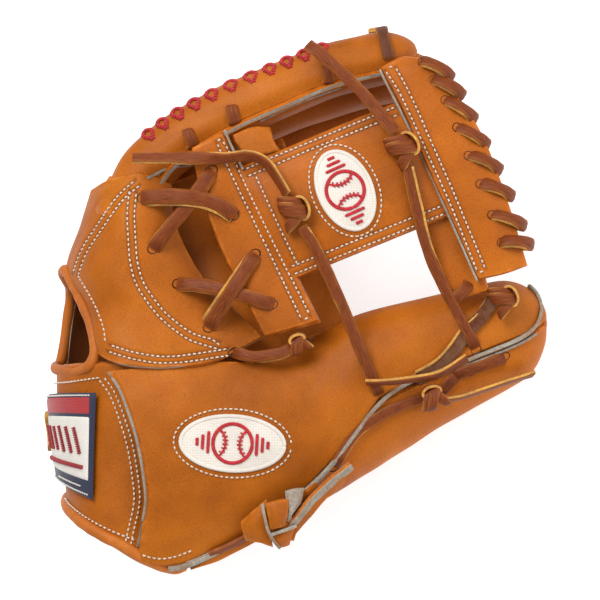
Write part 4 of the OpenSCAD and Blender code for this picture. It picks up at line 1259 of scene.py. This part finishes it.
# ------------------------------------------------------------------ crotch lacing
h1 = lace("crotch_lace_u1", [(-68.5, 24.5), (-61, 34), (-52, 44.5), (-41, 60)], lift=1.4, wd=6.8, th=2.6, seed=5, crown=0.8, dip=(2.5, 2.8))
h2 = lace("crotch_lace_u2", [(-74, 48), (-60, 48.4), (-46, 47.2), (-37, 44), (-31, 39.5)], lift=1.6, wd=7.2, th=2.4, seed=6, crown=0.7, hump=(0.42, 2.6, 8), dip=(2.5, 1.5))
e2 = lace("crotch_lace_u2c", [(-72, 45.2), (-60, 45.3), (-46.5, 44.1), (-38, 41.0), (-32.5, 37.5)], lift=1.4, wd=1.9, th=1.8, mats=[GOLD, GOLD], hump=(0.42, 2.6, 8), dip=(2.5, 1.5), add=(0, -0.4, 0))
o = join("crotch_lace_upper_x", [h1, h2, e2])
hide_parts("crotch_lace_upper")
carry(o, "fingers")
h1 = lace("crotch_lace_l1", [(-57, 7.5), (-44, 6.5), (-26, 2), (-13, -2)], lift=1.4, wd=6.6, th=2.5, seed=7, crown=0.7)
h2 = lace("crotch_lace_l2", [(-42.5, -12.5), (-36, -2), (-28, 10), (-21, 21)], lift=1.5, wd=6.8, th=2.5, seed=8, crown=0.8, hump=(0.5, 2.7, 8))
e2 = lace("crotch_lace_l2c", [(-44.8, -9), (-38.6, 0), (-30.6, 11.5), (-23.8, 21)], lift=1.3, wd=1.8, th=1.8, mats=[GOLD, GOLD], hump=(0.5, 2.7, 8), add=(-0.4, 0.2, 0))
o = join("crotch_lace_lower_x", [h1, h2, e2])
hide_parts("crotch_lace_lower")
carry(o, "fingers")
h1 = lace("crotch_lace_b1", [(-31, -24.5), (-22, -26.5), (-10, -25), (-3, -22)], lift=1.6, wd=5.4, th=2.0, seed=9, taut=1, ends=(None, 7))
e2 = lace("crotch_lace_b1c", [(-29, -27), (-21, -29), (-10, -27.6), (-3, -24.4)], lift=1.5, wd=1.3, th=1.8, mats=[GOLD, GOLD], taut=1, ends=(None, 7))
k1 = knot("crotch_knot", [-0.5, -20.8, 5.5], (0.9, 0.35), 0.72, seed=12, flat=0.8)
o = join("crotch_lace_bottom", [h1, e2, k1])
carry(o, "crotch_lo")
for i, (uv, how) in enumerate([((-74, 48), "fingers"), ((-69, 24), "fingers"), ((-57.5, 7.6), "fingers"), ((-43, -13), "fingers"), ((-31.5, -24.3), "fingers"),
                               ((-41, 60.5), "web"), ((-31, 39.5), "web"), ((-21, 21.5), "web"), ((-13, -2), "web")]):
    hole("crotch_hole_%d" % i, uv, how, 4.0, 3.2, 0.4)

# ------------------------------------------------------------------ thumb lacing
h1 = lace("thumb_lace_top", [(70.5, -0.5), (73.5, 1.5), (77, 4.5), (79, 8)], lift=1.4, taut=0.2, wd=5.8, th=2.4, seed=13, crown=0.7, dip=(1.2, 2.5))
h2 = lace("thumb_lace_run", [(91, 0), (86, -7), (79, -14), (72, -24), (66, -31), (56, -37), (46, -42)], lift=1.5, taut=0.7, wd=6.4, th=1.8, seed=14, crown=0.2, dip=(0, 1.5), mats=[FLESH_L, GOLD])
e1 = lace("thumb_lace_cut", [(88, 0.5), (83, -7), (76, -13.5), (69, -23), (63, -29), (54, -34)], lift=1.6, taut=0.7, wd=1.4, th=2.0, mats=[GOLD, GOLD], dip=(0, 0))
h3 = lace("thumb_lace_slot", [(72, -35.5), (84, -31.5), (96, -27)], lift=1.3, taut=0.5, wd=5.6, th=2.2, seed=15, crown=0.6)
h4 = lace("thumb_lace_short", [(73, -36), (69, -40.5), (66, -44)], lift=1.4, taut=0.5, wd=5.4, th=2.2, seed=16, crown=0.6, dip=(1, 0))
h5 = lace("thumb_lace_edge", [(16.5, -78), (23, -67), (31, -58.5), (43, -51.5), (59, -45.5)], lift=2.0, taut=0.5, wd=5.0, th=2.0, seed=17, dip=(2, 0))
o = join("thumb_lacing", [h1, h2, e1, h3, h4, h5])
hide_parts("thumb_lace")
carry(o, "thumb")
o = knot("thumb_knot_upper_tied", [95.5, 0.5, 2.4], (0.4, -0.9), 0.98, seed=18, flat=0.9)
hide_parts("thumb_knot_upper")
carry(o, "thumb")
o = knot("thumb_knot_lower_tied", [62.5, -46, 4.6], (0.95, 0.3), 0.88, seed=19, flat=0.9)
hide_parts("thumb_knot_lower")
carry(o, "thumb")
for i, uv in enumerate([(69.5, 3.4), (96.5, -26.6), (72, -35.8), (16, -79), (46, -42.5), (83, -23.5)]):
    hole("thumb_hole_%d" % i, uv, "thumb", 3.8, 2.8, 0.5)
free_end("thumb_tail_upper_end", "thumb_tail_upper", [[31, -38.4, 7.5], [40, -38.2, 9.2], [50, -37.2, 9.6], [62, -35.4, 9.0], [70, -32, 8.2], [78, -27, 7.4]],
         [[0.2, -1, 0.35], [0.1, -1, 0.4], [0, -1, 0.45], [0.2, -1, 0.5], [0.4, -1, 0.6], [0.3, -0.8, 0.8]], "thumb", seed=21)
free_end("thumb_tail_lower_end", "thumb_tail_lower", [[66, -47, 4.5], [76, -45.4, 3.8], [88, -41.5, 2.2], [99, -38, -0.5], [110, -34.8, -5]],
         [[-0.2, -1, 0.3], [-0.2, -1, 0.3], [-0.2, -1, 0.35], [-0.2, -1, 0.4], [-0.2, -1, 0.5]], "thumb", seed=22)

# the thumb's welt and the raw edge of its back panel
P, N = on_thumb([(1.25, seam(1.25) - 0.5), (2.0, seam(2.0) - 0.5), (3, seam(3.0) - 0.3), (4.2, 101), (5.2, 100), (5.66, 92), (5.83, 72), (5.86, 46), (5.8, 22), (5.66, 4)], 1.35)
w1 = ribbon("thumb_welt_edge", P, N, wd=1.7, th=2.2, raw=True, mats=[FLESH, FLESH], wob=0.4, crown=0.3)
P, N = on_thumb([(3.9, 104), (4.4, 106), (5.0, 106), (5.6, 105)], 1.2)
w2 = ribbon("thumb_welt_edge2", P - N * 0.7, N, wd=1.2, th=1.6, raw=True, mats=[FLESH, FLESH], wob=0.4, crown=0.2)
o = join("thumb_welt_edges", [w1, w2])
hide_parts("thumb_welt")
carry(o, "thumb")

# ------------------------------------------------------------------ heel
sel = (S > 0.3) & (S < 1.72)
P = GT[sel, -1]
N = grid_normals(GT)[sel, -3]
N = N * np.sign(N[:, 2:3])
P, N = even(P, N)
P = P + np.array([0.3, -0.7, 0.2])
w1 = ribbon("heel_raw_edge", P, N, wd=2.2, th=2.2, raw=True, mats=[FLESH, FLESH], wob=0.6)
w2 = ribbon("heel_under_edge", (P[9:] + np.array([1.2, -1.6, -3.4]))[::-1], N[9:][::-1], taper=0.85, wd=4.2, th=2.8, raw=True, mats=[SHELL2, FLESH], wob=0.8)
o = join("heel_edges", [w1, w2])
carry(o, "thumb")


def flap(nm, Gc, thick=2.6, mats=None, seed=0):
    G = net(Gc, 22, 22)
    return panel(nm, G, 1 if grid_normals(G)[11, 11][2] > 0 else -1, thick=thick, puff=0.5, puff_in=0.6, puff_r=3.5, round_r=1.0, rough_amp=0.15, mats=mats, seed=seed)


def strap(nm, P, N, wd, th=3.0, seed=0, mats=None):
    return ribbon(nm, P, N, wd=wd, th=th, mats=mats or [SHELL, FLESH], seed=seed, crown=0.1, wob=0.8)


ks = [flap("hs_left", [[[-28.5, -104, 3], [-23, -98.5, 6.5], [-16.5, -93, 7.5]], [[-27.5, -109, 3.5], [-21, -104.5, 8.5], [-14.5, -100, 9]], [[-26, -113.5, 1], [-19, -114.5, 5], [-12.5, -116.5, 4]]], seed=1),
      flap("hs_low", [[[-14, -109.5, 8], [-8, -107.5, 8.5], [-1.5, -105.5, 5]], [[-13, -112.5, 7], [-8, -111.5, 7.5], [-3, -110, 4]], [[-12, -115.5, 4], [-8.5, -116.5, 4], [-4.5, -115.5, 2]]], seed=2),
      flap("hs_mid", [[[-17, -94.5, 10.5], [-11, -92.8, 12], [-4.5, -92.5, 9.5]], [[-15.5, -101, 11.5], [-10.5, -100, 13], [-5, -99.5, 10]], [[-14.5, -108, 10], [-10.5, -107, 11], [-6.5, -106.5, 8.5]]], seed=3),
      flap("hs_flap", [[[-7.5, -89, 7.5], [-2.5, -87.5, 8.5], [2.5, -87.5, 7]], [[-7, -95, 8.5], [-2.5, -93, 10], [1.8, -91.5, 8]], [[-6.5, -104.5, 8], [-3.5, -100.5, 9.5], [0.8, -95, 8]]], seed=4, thick=2.0, mats=[FLESH, FLESH, SHELL]),
      strap("hs_e", [[-6, -107, 3], [-1, -101.5, 6.5], [6, -93, 6.5], [14, -85.5, 6], [24, -77.5, 4.0]], [[0.5, -0.7, 0.6], [0.5, -0.7, 0.8], [0.5, -0.7, 0.8], [0.5, -0.7, 0.8], [0.5, -0.7, 0.7]], 4.2, th=2.6, seed=5, mats=[FLESH, SHELL]),
      strap("hs_g", [[-4, -108.5, 1], [3, -100, 4], [10, -92, 4], [20, -83, 3.0]], [[0.5, -0.7, 0.6], [0.5, -0.7, 0.8], [0.5, -0.7, 0.8], [0.5, -0.7, 0.7]], 4.6, th=3.0, seed=6)]
ks.append(strap("hs_fill2", [[-14, -104, 5], [-8.5, -107.5, 5], [-2, -109, 3]], [[0.2, -0.4, 1]] * 3, 8, th=1.6, seed=8, mats=[SHELL2, FLESH]))
ks.append(strap("hs_fill", [[-7, -104, 0], [0, -96.5, 2], [9, -88, 1.5]], [[0.3, -0.4, 1]] * 3, 9, th=1.6, seed=7, mats=[SHELL2, FLESH]))
for q, L in enumerate(([[-17.6, -95, 11.0], [-16.4, -101, 12.2], [-15, -107, 10.8], [-12.5, -112, 7.8], [-9.5, -116, 4.6]], [[-14, -109.6, 9.8], [-8, -107.6, 9.6], [-2, -105.6, 6.4]])):
    ks.append(ribbon("hs_cut_%d" % q, L, [0.1, -0.2, 1], wd=1.5, th=1.4, mats=[FLESH, FLESH], seed=70 + q, wob=0.3, crown=0.2))
o = join("heel_strap_knot", ks)
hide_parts("heel_strap")
carry(o, "thumb")
o = ribbon("heel_lace_run", [[-42.4, -119.9, -4], [-33.4, -115.9, -3], [-24.4, -111.4, -4]], [0.35, -0.8, 0.5], wd=5.0, th=2.0, seed=23, crown=0.5, mats=[LACE, LACE])
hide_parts("heel_lace")
carry(o, "thumb")

# ------------------------------------------------------------------ finger trim
parts = []
for i, x in enumerate((0.3, 0.44, 0.72)):
    P, N = on_stall(0, [(x - 0.012, 318), (x - 0.006, 336), (x, 352)], 1.4)
    P[:3] -= N[:3] * 1.6
    P[-3:] -= N[-3:] * 1.8
    parts.append(ribbon("index_lace_%d" % i, P, N, wd=5.4, th=2.0, raw=True, seed=30 + i, crown=0.6))
o = join("index_side_lacing", parts)
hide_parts("index_side_lace")
carry(o, "fingers")
parts = []
P, N = on_stall(0, [(0.9, -22), (0.9, 20), (0.9, 60), (0.9, 96)], 1.6)
parts.append(ribbon("tip_lace_0", P, N, wd=5.6, th=2.2, raw=True, seed=40, crown=0.5, mats=[LACE_D, GOLD]))
for k in range(3):
    a = stall(k, 0.88, 96, 2.2)
    b = stall(k + 1, 0.86, 84, 2.2)
    P = np.array([stall(k, 0.88, 84, 2.4), a, (a + b) / 2 + np.array([0.5, 2.0, 0]), b, stall(k + 1, 0.86, 100, 2.2)])
    parts.append(ribbon("tip_lace_%d" % (k + 1), P, (-0.2, 1, 0), wd=5.6, th=2.2, seed=41 + k, crown=0.5, mats=[LACE_D, GOLD]))
o = join("fingertip_lacing", parts)
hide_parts("fingertip_lace")
carry(o, "fingers")
# red motif along the first finger
rows = []
for i in range(11):
    x0 = 0.2 + i * 0.052
    for sg in (-1, 1):
        for up in (-1, 1):
            t = np.linspace(0, 1, 14)
            rows.append(on_stall(0, [(x0 + sg * 0.017 * (1 - q), 42 + up * 24 * q) for q in (0, 0.5, 1)], 0.75))
o = stitch_rows("index_embroidery", [even(*r, step=0.4) for r in rows], pitch=1.5, length=1.42, wd=1.9, mats=[RED])
carry(o, "fingers")

# ------------------------------------------------------------------ inside
fs = lin(196, 100, 40)
P = hand(0 * fs + 3.1, fs, -8)
o = ribbon("pinky_finger_loop", P, unit(hand(0 * fs + 3.1, fs, 0) - P), wd=12, th=2.0, raw=True, mats=[PALM_SHADED, FLESH], wob=0.2)
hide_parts("pinky_loop")
carry(o, "fingers")
fs = lin(20, 160, 40)
P = thumb(0 * fs + 3, fs, -7)
o = ribbon("thumb_finger_loop", P, unit(thumb(0 * fs + 3, fs, 0) - P), wd=12, th=1.8, raw=True, mats=[PALM_SHADED, FLESH], wob=0.2)
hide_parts("thumb_loop")
carry(o, "thumb_only")
o = hpanel("palm_felt_pad", "palm_pad", 0.15, 3.5, 222, 280, d=-3.3, thick=3.6, puff=0.5, ns=50, nf=40, seed=51, mats=[FELT, FELT, FELT], slot="felt")
o = hpanel("palm_lining", "palm_liner", 0.1, 3.6, 218, 282, d=-7.4, thick=1.2, puff=0.0, ns=50, nf=40, seed=52, mats=[INNER, FLESH, INNER], slot="lining", rough_amp=0.4)
s, f = np.meshgrid(lin(2.2, 5, 60), lin(215, 325, 50), indexing="ij")
G = thumb(s, f, -3.3)
o = panel("thumb_felt_pad", G, 1 if np.dot(grid_normals(G)[30, 25], thumb(3.6, 270, 3) - thumb(3.6, 270, 0)) > 0 else -1, thick=3.6, puff=0.4, mats=[FELT, FELT, FELT], slot="felt", seed=53)
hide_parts("thumb_pad")
carry(o, "thumb_only")


# ------------------------------------------------------------------ camera and light
cam_d = bpy.data.cameras.new("camera")
cam = bpy.data.objects.new("camera", cam_d)
bpy.context.scene.collection.objects.link(cam)
uvec, vvec, wvec = R[:, 0], R[:, 1], R[:, 2]
M = Matrix(((uvec[0], vvec[0], wvec[0], 0), (uvec[1], vvec[1], wvec[1], 0), (uvec[2], vvec[2], wvec[2], 0), (0, 0, 0, 1)))
pos = row([0, 0, 1200.0])
M.translation = Vector(pos)
cam.matrix_world = M
cam_d.sensor_width = 36
cam_d.lens = 153.2
cam_d.clip_start = 0.05
cam_d.clip_end = 20
bpy.context.scene.camera = cam

world = bpy.data.worlds.new("studio")
world.use_nodes = True
world.node_tree.nodes["Background"].inputs["Color"].default_value = (1, 1, 1, 1)
world.node_tree.nodes["Background"].inputs["Strength"].default_value = 0.62
bpy.context.scene.world = world
bpy.context.scene.view_settings.view_transform = "Standard"


def area(name, p, size, power):
    d = bpy.data.lights.new(name, "AREA")
    d.shape = "DISK"
    d.size = size
    d.energy = power
    o = bpy.data.objects.new(name, d)
    bpy.context.scene.collection.objects.link(o)
    a = Vector(row(p))
    o.location = a
    o.rotation_euler = (Vector(row([0, 0, -30])) - a).to_track_quat("-Z", "Y").to_euler()
    return o


area("key", [-500, 650, 900], 0.7, 13.5)
area("fill", [700, 200, 700], 0.9, 3.5)
fm_ = bpy.data.meshes.new("floor")
fm_.from_pydata([(-4, -4, 0), (4, -4, 0), (4, 4, 0), (-4, 4, 0)], [], [(0, 1, 2, 3)])
kf = Mat("studio floor")
kf.color(kf.ramp(kf.noise(3, 2, 0.5), [(0.3, (0.53, 0.53, 0.53, 1)), (0.7, (0.57, 0.57, 0.57, 1))]))
kf.rough(kf.noise(20, 2, 0.5), 0.7, 0.85)
kf.p.inputs["Emission Color"].default_value = (1, 1, 1, 1)
kf.p.inputs["Emission Strength"].default_value = 0.76
fm_.materials.append(kf.m)
floor = bpy.data.objects.new("floor", fm_)
bpy.context.scene.collection.objects.link(floor)
floor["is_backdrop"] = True

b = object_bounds()
